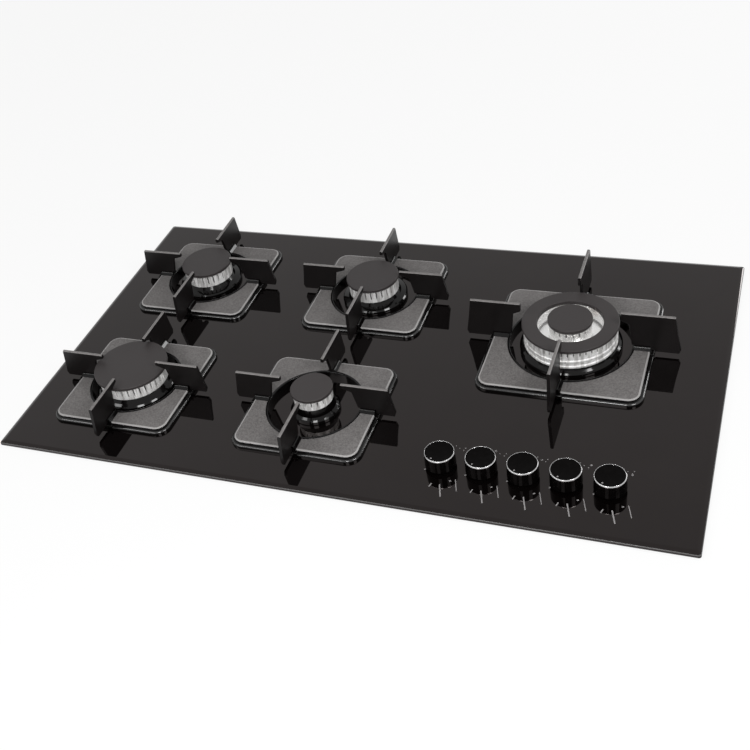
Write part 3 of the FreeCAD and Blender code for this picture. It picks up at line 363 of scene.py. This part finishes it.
gloss_enamel = Paint("gloss black enamel")
ripple = gloss_enamel.noise(4, 1)
gloss_enamel.shade({
    "Base Color": ENAMEL_BLACK,
    "Specular IOR Level": ENAMEL_MIRROR,
    "Roughness": 0.07 + 0.05 * gloss_enamel.noise(15, 2),
    "Normal": gloss_enamel.bump(ripple, 0.03, 0.5),
})
coat(
    gloss_enamel, "burner_base_front_left", "burner_base_front_middle", "burner_bases_rear",
    "burner_base_wok",
)

# ---------------------------------------------------------------- flame crowns
# The crowns are turned from cast aluminium and left bright, with sawn flame slots. The
# large one has two rings of slots with a mirror-like trough between them.

TROUGH_FLOOR = 26
TROUGH_EDGE = (43, 46)


def crown_paint(name, trough=None):
    """Bright cast aluminium with streaks down its walls, polished round a point."""
    paint = Paint(name)
    turning = paint.noise(1.2, 2, stretch=(8, 8, 0.3))
    streak = paint.noise(5, 2, stretch=(1, 1, 8)).between(0.38, 0.62)
    polish = 0.0
    if trough:
        middle = [part * MM for part in trough]
        reach = paint.node("VectorMath", {"operation": "DISTANCE"}, [paint.place, middle], 1)
        polish = 1 - reach.between(*(edge * MM for edge in TROUGH_EDGE))
    paint.shade({
        "Base Color": paint.mix(streak + polish, (0.60, 0.59, 0.58), (0.98, 0.975, 0.965)),
        "Metallic": 0.22 + 0.6 * polish,
        "Roughness": 0.26 + 0.08 * turning - 0.12 * polish,
        "Normal": paint.bump(turning, 0.25, 0.7),
    })
    return paint


bright_cast = crown_paint("bright aluminium")
coat(bright_cast, *(f"flame_crown_{name}" for name in BURNERS if name != "wok"))
trough = (*burner_centre("wok"), GLASS_TOP + TROUGH_FLOOR)
coat(crown_paint("bright aluminium with a polished trough", trough), "flame_crown_wok")

# ---------------------------------------------------------------- burner caps
# The caps are pressed steel with a matt dark grey enamel. They only lie on the crowns,
# and a ring below each one keeps it in the middle.

CAP_GREY = (0.029, 0.025, 0.025)
CAP_MIRROR = 0.36
CAP_EDGE = 1.1
CAP_SIZES = {
    # cap: radius, crown radius, seat height, thickness
    "front_left": (48.5, 45, 30, 6), "front_middle": (26.4, 24.5, 30, 6),
    "rear_left": (35.8, 33.8, 30, 6), "rear_middle": (35.8, 33.8, 30, 6),
    "wok_centre": (27.5, 26, 38, 6.5),
}
CROWN_WALL = 4.3
SEAT_GAP = 1.2
SEAT_INSET = 0.8
LOCATOR_DEPTH = 3
LOCATOR_WALL = 2
HOLLOW = 1
EDGE_MARGIN = 1


def turn(mesh, profile, x, y, closed=False, steps=96):
    """Spin (radius, height over the glass) points round an axis, and give back the edges."""
    before = set(mesh.edges)
    points = [mesh.verts.new(((x + radius) * MM, y * MM, (GLASS_TOP + height) * MM))
              for radius, height in profile]
    ends = points[1:] + points[:1] if closed else points[1:]
    edges = [mesh.edges.new(pair) for pair in zip(points, ends)]
    bmesh.ops.spin(
        mesh, geom=points + edges, cent=(x * MM, y * MM, 0), axis=(0, 0, 1), angle=math.tau,
        steps=steps, use_merge=True,
    )
    bmesh.ops.remove_doubles(mesh, verts=mesh.verts, dist=SAME_POINT * MM)
    return [edge for edge in mesh.edges if edge not in before]


def sharp(edges, angle=25):
    """Those edges where the surface turns sharply."""
    limit = math.radians(angle)
    return [edge for edge in edges if edge.is_valid and edge.calc_face_angle(0) > limit]


def reach_of(edge, x, y):
    """How far an edge stands from an upright axis."""
    return min(math.hypot(vert.co.x / MM - x, vert.co.y / MM - y) for vert in edge.verts)


def foot_of(edge):
    """How far an edge's lower end stands over the glass."""
    return min(vert.co.z for vert in edge.verts) / MM - GLASS_TOP


cap_enamel = Paint("matt grey enamel")
speck = cap_enamel.noise(0.7, 2)
bloom = cap_enamel.noise(18, 3)
cap_enamel.shade({
    "Base Color": cap_enamel.mix(0.5 * speck + 0.5 * bloom, CAP_GREY, (0.041, 0.036, 0.036)),
    "Specular IOR Level": CAP_MIRROR,
    "Roughness": 0.42 + 0.16 * bloom,
    "Normal": cap_enamel.bump(speck, 0.05, 0.6),
})

# Painted highlight: a pale grey laid on the lower rounding of each cap's rim.
cap_rim_highlight = Paint("grey enamel with a painted rim highlight")
highlight_mottle = cap_rim_highlight.noise(4, 3)
cap_rim_highlight.shade({
    "Base Color": cap_rim_highlight.mix(highlight_mottle, (0.16, 0.15, 0.148), (0.30, 0.29, 0.285)),
    "Roughness": 0.34,
})


def round_cap(mesh, edges):
    """Round a cap's outer edges, and paint a pale highlight on the lower one."""
    highlight_below = (GLASS_TOP + min(foot_of(edge) for edge in edges) + CAP_EDGE) * MM
    faces = round_off(mesh, edges, CAP_EDGE, 4)
    # The lower rounding of the rim takes the painted highlight.
    repaint([face for face in faces if face.calc_center_median().z < highlight_below], 1)


for cap, (radius, crown, seat, thick) in CAP_SIZES.items():
    x, y = burner_centre("wok" if cap == "wok_centre" else cap)
    top = seat + thick
    below = seat + SEAT_GAP
    step = crown - SEAT_INSET
    locator = crown - CROWN_WALL
    bore = locator - LOCATOR_WALL
    profile = [
        (0, top), (radius, top), (radius, below), (step, below), (step, seat), (locator, seat),
        (locator, seat - LOCATOR_DEPTH), (bore, seat - LOCATOR_DEPTH), (bore, seat + HOLLOW),
        (0, seat + HOLLOW),
    ]
    mesh = bmesh.new()
    edges = turn(mesh, profile, x, y)
    rounded_past = radius - EDGE_MARGIN
    round_cap(mesh, [edge for edge in sharp(edges) if reach_of(edge, x, y) > rounded_past])
    made = finish_piece(f"cap_{cap}", mesh, [cap_enamel, cap_rim_highlight], f"cap_{cap}")
    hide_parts(f"burner_cap_{cap}")

WOK_RING = [
    (40.5, 34), (40.5, 39.5), (59.5, 39.5), (59.5, 35.2), (55.7, 35.2), (55.7, 34),
    (52.2, 34), (52.2, 31), (50.2, 31), (50.2, 34),
]
RING_STEP = (52, 58)
RING_SEAT = 34.5
x, y = burner_centre("wok")
step_start, step_end = RING_STEP
mesh = bmesh.new()
edges = turn(mesh, WOK_RING, x, y, closed=True)
above_seat = [edge for edge in sharp(edges) if foot_of(edge) > RING_SEAT]
round_cap(mesh, [
    edge for edge in above_seat if not step_start < reach_of(edge, x, y) < step_end
])
made = finish_piece("cap_wok_ring", mesh, [cap_enamel, cap_rim_highlight], "cap_wok_ring")
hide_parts("burner_cap_wok_ring")

# ---------------------------------------------------------------- pan support plates
# Each support is a square of pressed steel with rounded corners. A low lip runs round it,
# a raised rim runs round the hole, and a rib on each side carries a fin. The flat is matt
# and rough, with a pale highlight painted along its edge; the lip, the rim and the ribs are glossy
# black.

PLATE_HEIGHT = 8
LIP_WIDTH = 4.5
LIP_HEIGHT = 4.5
PLATE_CORNER = 14
RIM_WIDTH = 3
RIM_RISE = 1
PLATE_SKIN = 2.5
RIB_TOP = 12.5
RIB_BOTTOM = 4
RIB_CREST = 3.5
RIB_FOOT = 9
TOE_RISE = 2
TOE_OVERLAP = 2
LIP_ROUND = 2.2
LIP_INNER_ROUND = 0.8
FIELD_ROUND = 1.3
RIM_OUTER_ROUND = 0.6
RIM_HOLE_ROUND = 1.2
RIB_ROUND = 1.2
TOE_ROUND = 1.4
HIGHLIGHT_BORDER = 2.0
LIP_MIRROR = 0.9
SUPPORTS = {name: (80, 59) for name in BURNERS}
SUPPORTS["wok"] = (97, 75.5)

matt_enamel = Paint("textured matt enamel")
sand = matt_enamel.noise(1.6, 3).between(0.3, 0.7)
cloud = matt_enamel.noise(35, 3)
matt_enamel.shade({
    "Base Color": matt_enamel.mix(
        0.6 * sand + 0.4 * cloud, (0.078, 0.072, 0.070), (0.215, 0.205, 0.201)
    ),
    "Roughness": 0.62 + 0.12 * sand,
    "Normal": matt_enamel.bump(sand, 0.16, 0.7),
})

# Painted highlight: pale grey for the border and the rounded edge of each plate's flat.
plate_edge_highlight = Paint("matt enamel with a painted edge highlight")
highlight_mottle = plate_edge_highlight.noise(3, 3)
plate_edge_highlight.shade({
    "Base Color": plate_edge_highlight.mix(highlight_mottle, (0.29, 0.28, 0.275), (0.43, 0.42, 0.415)),
    "Roughness": 0.5,
})

lip_enamel = Paint("thick gloss enamel")
lip_enamel.shade({
    "Base Color": ENAMEL_BLACK,
    "Specular IOR Level": LIP_MIRROR,
    "Roughness": 0.10 + 0.06 * lip_enamel.noise(12, 2),
})


def bar(mesh, size, middle):
    """A block of a size about a middle; give back its corners."""
    verts = bmesh.ops.create_cube(mesh, size=MM)["verts"]
    bmesh.ops.scale(mesh, vec=size, verts=verts)
    move(mesh, verts, *middle)
    return verts


def edges_of(verts):
    """Every edge that meets one of the vertices."""
    return list({edge for vert in verts for edge in vert.link_edges})


def copy_round(mesh, parts):
    """Copy parts of a support to its other three sides."""
    for quarter in range(1, 4):
        bmesh.ops.spin(
            mesh, geom=parts, cent=(0, 0, 0), axis=(0, 0, 1), angle=quarter * math.pi / 2,
            steps=1, use_duplicate=True,
        )


for name, (half, hole) in SUPPORTS.items():
    mesh = bmesh.new()
    loops = []
    for reach, height in (
        (half - RIM_WIDTH, PLATE_HEIGHT - PLATE_SKIN), (half - RIM_WIDTH, 0), (half + LIP_WIDTH, 0),
        (half + LIP_WIDTH, LIP_HEIGHT), (half, LIP_HEIGHT), (half, PLATE_HEIGHT),
        (half - HIGHLIGHT_BORDER, PLATE_HEIGHT),
    ):
        corner = PLATE_CORNER + reach - half
        loops.append(rim(mesh, reach, reach, corner, height))
    hoops = [hoop(mesh, radius, height) for radius, height in (
        (hole + 2 * RIM_WIDTH, PLATE_HEIGHT - PLATE_SKIN), (hole + 2 * RIM_WIDTH, 0), (hole, 0),
        (hole, PLATE_HEIGHT + RIM_RISE), (hole + RIM_WIDTH, PLATE_HEIGHT + RIM_RISE),
        (hole + RIM_WIDTH, PLATE_HEIGHT),
    )]
    wall(mesh, *loops[:6])
    # The border of the flat, and below its rounding, take the painted highlight.
    repaint(wall(mesh, *loops[5:]), 2)
    wall(mesh, *hoops)
    sheet_between(mesh, loops[0], hoops[0])
    repaint(sheet_between(mesh, loops[-1], hoops[-1]), 1)
    repaint(round_off(mesh, loops[3], LIP_ROUND, 5), 3)
    round_off(mesh, loops[4], LIP_INNER_ROUND, 2)
    repaint(round_off(mesh, loops[5], FIELD_ROUND, 4), 2)
    round_off(mesh, hoops[3], RIM_HOLE_ROUND, 4)
    round_off(mesh, hoops[4], RIM_OUTER_ROUND, 2)
    before = set(mesh.verts)
    inner = hole + RIM_WIDTH / 2
    length = half - inner
    rib_middle = (RIB_TOP + RIB_BOTTOM) / 2
    rib_size = (length, 2 * RIB_FOOT, RIB_TOP - RIB_BOTTOM)
    rib = bar(mesh, rib_size, (inner + length / 2, 0, rib_middle))
    crest = [vert for vert in rib if vert.co.z > rib_middle * MM]
    bmesh.ops.scale(mesh, vec=(1, RIB_CREST / RIB_FOOT, 1), verts=crest)
    crest_edges = [edge for edge in edges_of(rib) if all(vert in crest for vert in edge.verts)]
    round_off(mesh, crest_edges, RIB_ROUND)
    toe_top = LIP_HEIGHT + TOE_RISE
    toe_size = (LIP_WIDTH + TOE_OVERLAP, 2 * RIB_FOOT, toe_top)
    toe = bar(mesh, toe_size, (half + (LIP_WIDTH - TOE_OVERLAP) / 2, 0, toe_top / 2))
    off_the_glass = [edge for edge in edges_of(toe) if all(vert.co.z > 0 for vert in edge.verts)]
    round_off(mesh, off_the_glass, TOE_ROUND)
    added = [vert for vert in mesh.verts if vert not in before]
    parts = added + edges_of(added) + list({face for vert in added for face in vert.link_faces})
    copy_round(mesh, parts)
    move(mesh, mesh.verts, *burner_centre(name), GLASS_TOP)
    made = finish_piece(
        f"support_plate_{name}", mesh, [gloss_enamel, matt_enamel, plate_edge_highlight, lip_enamel],
        f"support_{name}",
    )
    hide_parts(f"pan_plate_{name}")

# ---------------------------------------------------------------- fins
# Four upright fins stand on the ribs of each plate and carry the pan. They are cast iron
# under satin black enamel, with a pale highlight painted along the crests.

FIN_THICK = 4
FIN_ROUND = 0.6
FIN_CREST = 1.5
FIN_FOOT = 5.5
HEEL_GAP = 0.8
TOE_GAP = 0.3
NEAR = 0.1
FIN_MIRROR = 0.24
CREST_HIGHLIGHT_DEPTH = 1.1
SMALL_FIN = dict(top=46.5, tip=40, tip_depth=5.5, neck=13, neck_depth=10, reach=106, lean=6)
WOK_FIN = dict(top=59.5, tip=61.5, tip_depth=11.5, neck=9.5, neck_depth=16, reach=132.5, lean=7.5)

satin_enamel = Paint("satin black enamel")
grain = satin_enamel.noise(1.1, 3)
wear = satin_enamel.noise(22, 3)
satin_enamel.shade({
    "Base Color": satin_enamel.mix(wear, (0.0040, 0.0032, 0.0032), (0.0075, 0.0062, 0.0062)),
    "Specular IOR Level": FIN_MIRROR,
    "Roughness": 0.30 + 0.10 * wear,
    "Normal": satin_enamel.bump(grain, 0.05, 0.6),
})

# Painted highlight: pale grey along the top of each fin's crest.
fin_crest_highlight = Paint("black enamel with a painted crest highlight")
highlight_mottle = fin_crest_highlight.noise(5, 3)
fin_crest_highlight.shade({
    "Base Color": fin_crest_highlight.mix(highlight_mottle, (0.11, 0.10, 0.098), (0.24, 0.23, 0.225)),
    "Roughness": 0.36,
})

for name, (half, hole) in SUPPORTS.items():
    fin = WOK_FIN if name == "wok" else SMALL_FIN
    top, tip, reach, lean = fin["top"], fin["tip"], fin["reach"], fin["lean"]
    rise = top - RIB_TOP
    heel = half + HEEL_GAP
    toe = heel + LIP_WIDTH
    over_lip = LIP_HEIGHT + TOE_RISE + TOE_GAP
    outline = [
        (tip, top), (tip, top - fin["tip_depth"]), (tip + fin["neck"], top - fin["neck_depth"]),
        (hole - 1, RIB_TOP), (heel, RIB_TOP), (heel, over_lip), (toe, over_lip), (toe, FIN_FOOT),
        (reach - 2, FIN_FOOT), (reach, RIB_TOP - 1.5),
        (reach - 0.18 * lean, RIB_TOP + 0.14 * rise), (reach - 0.6 * lean, RIB_TOP + 0.53 * rise),
        (reach - lean, top),
    ]
    mesh = bmesh.new()
    side = [mesh.verts.new((radius * MM, -FIN_THICK / 2 * MM, height * MM))
            for radius, height in outline]
    face = mesh.faces.new(side)
    grown = bmesh.ops.extrude_face_region(mesh, geom=[face])["geom"]
    far = [item for item in grown if isinstance(item, bmesh.types.BMVert)]
    move(mesh, far, 0, FIN_THICK, 0)
    along = [edge for edge in mesh.edges if edge.verts[0].co.y * edge.verts[1].co.y > 0]
    crest = [edge for edge in along if all(vert.co.z > (top - NEAR) * MM for vert in edge.verts)]
    others = [edge for edge in along if edge not in crest]
    highlight_above = (top - CREST_HIGHLIGHT_DEPTH) * MM
    round_off(mesh, crest, FIN_CREST, 5)
    round_off(mesh, [edge for edge in others if edge.is_valid], FIN_ROUND)
    # The faces along the crest take the painted highlight.
    repaint([face for face in mesh.faces if face.calc_center_median().z > highlight_above], 1)
    parts = mesh.verts[:] + mesh.edges[:] + mesh.faces[:]
    copy_round(mesh, parts)
    move(mesh, mesh.verts, *burner_centre(name), GLASS_TOP)
    made = finish_piece(
        f"support_fins_{name}", mesh, [satin_enamel, fin_crest_highlight], f"support_{name}"
    )
    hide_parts(f"pan_fins_{name}")

# ---------------------------------------------------------------- knobs
# The knobs are glossy black plastic, turned slightly wider at the foot, with a dished top.
# A thin bright ring is let into the top edge, and a small pale dot marks the pointer;
# the dot sits where a highlight spot falls on the top, so it is partly a painted highlight.

KNOB_BLACK = (0.0016, 0.0012, 0.0012)
KNOB_MIRROR = 0.045
KNOB = [
    (0, 20.8), (8.25, 21.0), (13.2, 21.32), (16.5, 21.6), (16.5, 20.4), (17.6, 20.4),
    (18.1, 3.8), (15.9, 3.8), (15.4, 19), (5.8, 19), (5.8, 4.4), (3.1, 4.4), (3.1, 19),
    (0, 19),
]
RING = [(16.55, 20.4), (17.6, 20.4), (17.6, 21.1), (16.95, 22.0), (16.55, 22.0)]
KNOB_FOOT = 4
KNOB_CREASE = 40  # degrees
FOOT_ROUND = 0.6
RING_ROUND = 0.18
RING_SHOULDER = 21
KNOB_STEPS = 72
DOT_RADIUS = 1.0
DOT_REACH = 13.4
DOT_HEIGHT = 21.35
DOT_FLATNESS = 0.3
DOT_CREASE = 60  # degrees
POINTER_AND_HIGHLIGHT = math.radians(-118)

knob_plastic = Paint("gloss black plastic")
dust = knob_plastic.noise(5, 3).between(0.4, 0.8)
knob_plastic.shade({
    "Base Color": knob_plastic.mix(dust, KNOB_BLACK, (0.0030, 0.0025, 0.0025)),
    "Specular IOR Level": KNOB_MIRROR,
    "Roughness": 0.07 + 0.07 * dust,
})

bright_ring = Paint("polished chrome")
smear = bright_ring.noise(6, 2)
bright_ring.shade({
    "Base Color": bright_ring.mix(smear, (0.62, 0.62, 0.62), (0.74, 0.74, 0.74)),
    "Metallic": 1.0,
    "Roughness": 0.16 + 0.12 * smear,
})

white_mark = Paint("pale ceramic ink")
fleck = white_mark.noise(0.5, 2)
white_mark.shade({
    "Base Color": white_mark.mix(fleck, (0.20, 0.19, 0.19), (0.34, 0.33, 0.33)),
    "Roughness": 0.45,
})

for number in KNOBS:
    x, y = centre_of(f"knob_{number}")
    mesh = bmesh.new()
    edges = turn(mesh, KNOB, x, y, steps=KNOB_STEPS)
    round_off(mesh, [edge for edge in sharp(edges, 50) if foot_of(edge) < KNOB_FOOT], FOOT_ROUND)
    made = finish_piece(
        f"knob_shell_{number}", mesh, [knob_plastic], f"knob_{number}", KNOB_CREASE
    )
    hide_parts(f"knob_{number}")

    mesh = bmesh.new()
    edges = turn(mesh, RING, x, y, closed=True, steps=KNOB_STEPS)
    round_off(mesh, [edge for edge in sharp(edges) if foot_of(edge) > RING_SHOULDER], RING_ROUND)
    made = finish_piece(f"knob_trim_{number}", mesh, [bright_ring], f"knob_{number}")
    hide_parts(f"knob_ring_{number}")

    # Pointer dot of pale ink, placed at a highlight spot: partly a painted highlight.
    mesh = bmesh.new()
    dot = bmesh.ops.create_icosphere(mesh, subdivisions=3, radius=DOT_RADIUS * MM)["verts"]
    bmesh.ops.scale(mesh, vec=(1, 1, DOT_FLATNESS), verts=dot)
    across, back = DOT_REACH * math.cos(POINTER_AND_HIGHLIGHT), DOT_REACH * math.sin(POINTER_AND_HIGHLIGHT)
    move(mesh, dot, x + across, y + back, GLASS_TOP + DOT_HEIGHT)
    finish_piece(
        f"pointer_highlight_dot_{number}", mesh, [white_mark], f"knob_{number}", DOT_CREASE
    )

# ---------------------------------------------------------------- print on the glass
# Generic marks are fired onto the glass round each knob: a dot pattern that says which
# burner it feeds, a dot for off, and slanted bars for the large and the small flame.

PRINT_THICK = 0.06
PRINT_LIFT = 0.02
BURNER_DOT = 1.25
FAINT_DOT = 0.7
OFF_DOT = 1.1
BURNER_DOTS = {1: (1.0, 27.5), 2: (8.0, 33.7), 3: (14.3, 29.7), 4: (21.8, 32.0), 5: (19.5, 25.7)}
FAINT_DOTS = [(9.1, 33.0), (13.9, 30.0), (19.2, 27.6), (20.7, 31.4)]
OFF_PLACE = (-16.1, -10.0)
STROKES = [
    # from, to, width
    ((-4.1, -35.0), (-2.6, -29.4), 1.3), ((6.8, -29.4), (12.6, -47.1), 1.5),
    ((15.9, -22.6), (17.9, -21.6), 1.6), ((22.3, -19.0), (28.0, -36.0), 0.9),
]


def print_dot(mesh, x, y, radius):
    """A round dot of ink, as a thin disc."""
    verts = bmesh.ops.create_circle(mesh, cap_ends=True, radius=radius * MM, segments=20)["verts"]
    move(mesh, verts, x, y, GLASS_TOP + PRINT_LIFT)


def print_bar(mesh, start, end, width):
    """A straight stroke of ink with square ends."""
    run = Vector((end[0] - start[0], end[1] - start[1], 0))
    verts = bmesh.ops.create_grid(mesh, x_segments=1, y_segments=1, size=0.5 * MM)["verts"]
    bmesh.ops.scale(mesh, vec=(run.length, width, 1), verts=verts)
    bmesh.ops.rotate(mesh, matrix=Matrix.Rotation(math.atan2(run.y, run.x), 3, "Z"), verts=verts)
    middle = ((start[0] + end[0]) / 2, (start[1] + end[1]) / 2)
    move(mesh, verts, *middle, GLASS_TOP + PRINT_LIFT)


for number in KNOBS:
    x, y = centre_of(f"knob_{number}")
    mesh = bmesh.new()
    dots = [(BURNER_DOTS[number], BURNER_DOT), *((place, FAINT_DOT) for place in FAINT_DOTS),
            (OFF_PLACE, OFF_DOT)]
    for (across, back), radius in dots:
        print_dot(mesh, x + across, y + back, radius)
    for start, end, width in STROKES:
        ends = [(x + across, y + back) for across, back in (start, end)]
        print_bar(mesh, *ends, width)
    grown = bmesh.ops.extrude_face_region(mesh, geom=mesh.faces[:])["geom"]
    lifted = [item for item in grown if isinstance(item, bmesh.types.BMVert)]
    move(mesh, lifted, 0, 0, PRINT_THICK)
    finish_piece(f"knob_marks_{number}", mesh, [white_mark], "root")

# ---------------------------------------------------------------- valves and gas line
# Die-cast valves hang on a plated steel rail, each with a brass plug and stem. Drawn
# aluminium tubes lead the gas from them to brass injectors in the burner bases.

brass = Paint("turned brass")
tarnish = brass.noise(6, 3)
brass.shade({
    "Base Color": brass.mix(tarnish, (0.60, 0.40, 0.15), (0.72, 0.54, 0.24)),
    "Metallic": 1.0,
    "Roughness": 0.22 + 0.16 * tarnish,
})

die_cast = Paint("die-cast alloy")
skin_grain = die_cast.noise(0.8, 3)
die_cast.shade({
    "Base Color": die_cast.mix(skin_grain, (0.46, 0.46, 0.46), (0.58, 0.58, 0.57)),
    "Metallic": 1.0,
    "Roughness": 0.42 + 0.12 * skin_grain,
    "Normal": die_cast.bump(skin_grain, 0.08, 0.5),
})

drawn_tube = Paint("drawn aluminium")
scuff = drawn_tube.noise(8, 4)
drawn_tube.shade({
    "Base Color": drawn_tube.mix(scuff, (0.60, 0.60, 0.61), (0.74, 0.74, 0.74)),
    "Metallic": 1.0,
    "Roughness": 0.26 + 0.18 * scuff,
})

spring_steel = Paint("spring steel")
draw_mark = spring_steel.noise(1.5, 2)
spring_steel.shade({
    "Base Color": spring_steel.mix(draw_mark, (0.34, 0.34, 0.34), (0.46, 0.46, 0.45)),
    "Metallic": 1.0,
    "Roughness": 0.3 + 0.1 * draw_mark,
})

coat(brass, "injectors", "inlet_elbow")
coat(brass, *(f"valve_{part}_{number}" for part in ("plug", "stem") for number in KNOBS))
coat(die_cast, "valve_bodies")
coat(drawn_tube, "gas_tubes")
coat(spring_steel, "stem_springs")

# ---------------------------------------------------------------- ignition and sensing
# White ceramic spark electrodes and steel thermocouples stand behind the crowns. The
# spark generator and the mains terminal box are moulded plastic, down in the tray.

ceramic = Paint("glazed ceramic")
glaze = ceramic.noise(3, 2)
ceramic.shade({
    "Base Color": ceramic.mix(glaze, (0.72, 0.70, 0.65), (0.80, 0.79, 0.75)),
    "Roughness": 0.16 + 0.1 * glaze,
    "Coat Weight": 0.3 * glaze,
})

heated_steel = Paint("heat-tinted steel")
tint = heated_steel.noise(5, 3)
heated_steel.shade({
    "Base Color": heated_steel.mix(tint, (0.30, 0.24, 0.20), (0.46, 0.43, 0.42)),
    "Metallic": 1.0,
    "Roughness": 0.3 + 0.15 * tint,
})

dark_moulding = Paint("dark moulded plastic")
spark_grain = dark_moulding.noise(0.6, 3)
dark_moulding.shade({
    "Base Color": dark_moulding.mix(spark_grain, (0.030, 0.030, 0.033), (0.046, 0.046, 0.050)),
    "Roughness": 0.5 + 0.1 * spark_grain,
    "Normal": dark_moulding.bump(spark_grain, 0.06, 0.5),
})

grey_moulding = Paint("grey moulded plastic")
box_grain = grey_moulding.noise(0.6, 3)
grey_moulding.shade({
    "Base Color": grey_moulding.mix(box_grain, (0.26, 0.26, 0.26), (0.33, 0.33, 0.33)),
    "Roughness": 0.48 + 0.1 * box_grain,
    "Normal": grey_moulding.bump(box_grain, 0.06, 0.5),
})

coat(ceramic, "spark_electrodes")
coat(heated_steel, "thermocouples")
coat(dark_moulding, "ignition_module")
coat(grey_moulding, "mains_terminal")

# ---------------------------------------------------------------- worktop, light, camera
# The cooktop lies in the cut-out of a plain pale worktop. Four soft lamps stand round it in
# a bright tent, and the camera looks down from the front right corner.

WORKTOP_REACH = 8000
WORKTOP_CORNER = 1000
WORKTOP_DEPTH = 30
CUT_OUT_GAP = 4
CUT_OUT_CORNER = 15
TENT_LIGHT = 0.33
TENT_GLOSS = 0.72
BACKGROUND = 1.0
PAPER = 0.88
LENS = 52.954
SENSOR = 36
CAMERA_PLACE = (0.47082, -1.00881, 0.94941)  # metres
CAMERA_TURN = (50.7514, 8.8631, 19.9807)  # degrees
SHIFT = (0.04, -0.02667)
LAMPS = {
    # lamp: azimuth and elevation from the object in degrees, distance, width and height in
    # metres, radiance
    "front key": (-81, 40, 1.25, 0.30, 0.25, 20.0),
    "right key": (-30, 42, 1.7, 0.42, 0.34, 20.0),
    "front strip": (-132, 42, 1.9, 1.30, 0.22, 9.0),
    "rear strip": (48, 18, 2.2, 0.70, 0.30, 12.0),
}

pale = Paint("pale worktop")
pale.shade({"Base Color": (0.9, 0.9, 0.9), "Roughness": 0.9})
camera_ray = pale.node("LightPath", {}, {}, "Is Camera Ray")
glossy_ray = pale.node("LightPath", {}, {}, "Is Glossy Ray")
glass_ray = pale.node("LightPath", {}, {}, "Is Transmission Ray")
lit = Wire(pale, pale.shader.outputs["BSDF"])
glow = pale.node("Emission", {}, {})
seen = PAPER * (camera_ray + glossy_ray + glass_ray)
surface = pale.node("MixShader", {}, [seen, lit, glow])
pale.feed(pale.tree.nodes["Material Output"], {"Surface": surface})

seal_bottom = box_of("edge_seal")[0].z
tray_corner = box_of("bottom_tray")[1]
mesh = bmesh.new()
outside = rim(mesh, WORKTOP_REACH, WORKTOP_REACH, WORKTOP_CORNER, seal_bottom)
cut_out = rim(
    mesh, tray_corner.x + CUT_OUT_GAP, tray_corner.y + CUT_OUT_GAP, CUT_OUT_CORNER, seal_bottom
)
sheet_between(mesh, outside, cut_out)
below = bmesh.ops.extrude_edge_only(mesh, edges=cut_out)["geom"]
sunk = [item for item in below if isinstance(item, bmesh.types.BMVert)]
move(mesh, sunk, 0, 0, -WORKTOP_DEPTH)
worktop = object_of("worktop", mesh, [pale])

world = bpy.data.worlds.new("studio tent")
bpy.context.scene.world = world
world.use_nodes = True
nodes, links = world.node_tree.nodes, world.node_tree.links
rays = nodes.new("ShaderNodeLightPath")
brightness = None
for kind, strength in (
    ("Camera", BACKGROUND), ("Glossy", TENT_GLOSS), ("Transmission", BACKGROUND),
):
    chosen = nodes.new("ShaderNodeMix")
    chosen.inputs["A"].default_value = TENT_LIGHT
    chosen.inputs["B"].default_value = strength
    links.new(rays.outputs[f"Is {kind} Ray"], chosen.inputs["Factor"])
    if brightness:
        links.new(brightness, chosen.inputs["A"])
    brightness = chosen.outputs["Result"]
links.new(brightness, nodes["Background"].inputs["Strength"])
nodes["Background"].inputs["Color"].default_value = (1, 1, 1, 1)

for name, (azimuth, elevation, distance, width, height, radiance) in LAMPS.items():
    lamp = bpy.data.lights.new(name, "AREA")
    lamp.shape = "RECTANGLE"
    lamp.size = width
    lamp.size_y = height
    lamp.energy = radiance * math.pi * width * height
    holder = bpy.data.objects.new(name, lamp)
    bearing, lift = math.radians(azimuth), math.radians(elevation)
    level = math.cos(lift)
    towards = Vector((math.cos(bearing) * level, math.sin(bearing) * level, math.sin(lift)))
    holder.location = distance * towards
    holder.rotation_euler = towards.to_track_quat("Z", "Y").to_euler()
    bpy.context.scene.collection.objects.link(holder)

lens = bpy.data.cameras.new("camera")
lens.sensor_width = SENSOR
lens.lens = LENS
lens.shift_x, lens.shift_y = SHIFT
camera = bpy.data.objects.new("camera", lens)
camera.location = CAMERA_PLACE
camera.rotation_euler = [math.radians(angle) for angle in CAMERA_TURN]
bpy.context.scene.collection.objects.link(camera)
bpy.context.scene.camera = camera
bpy.context.scene.view_settings.view_transform = "Standard"
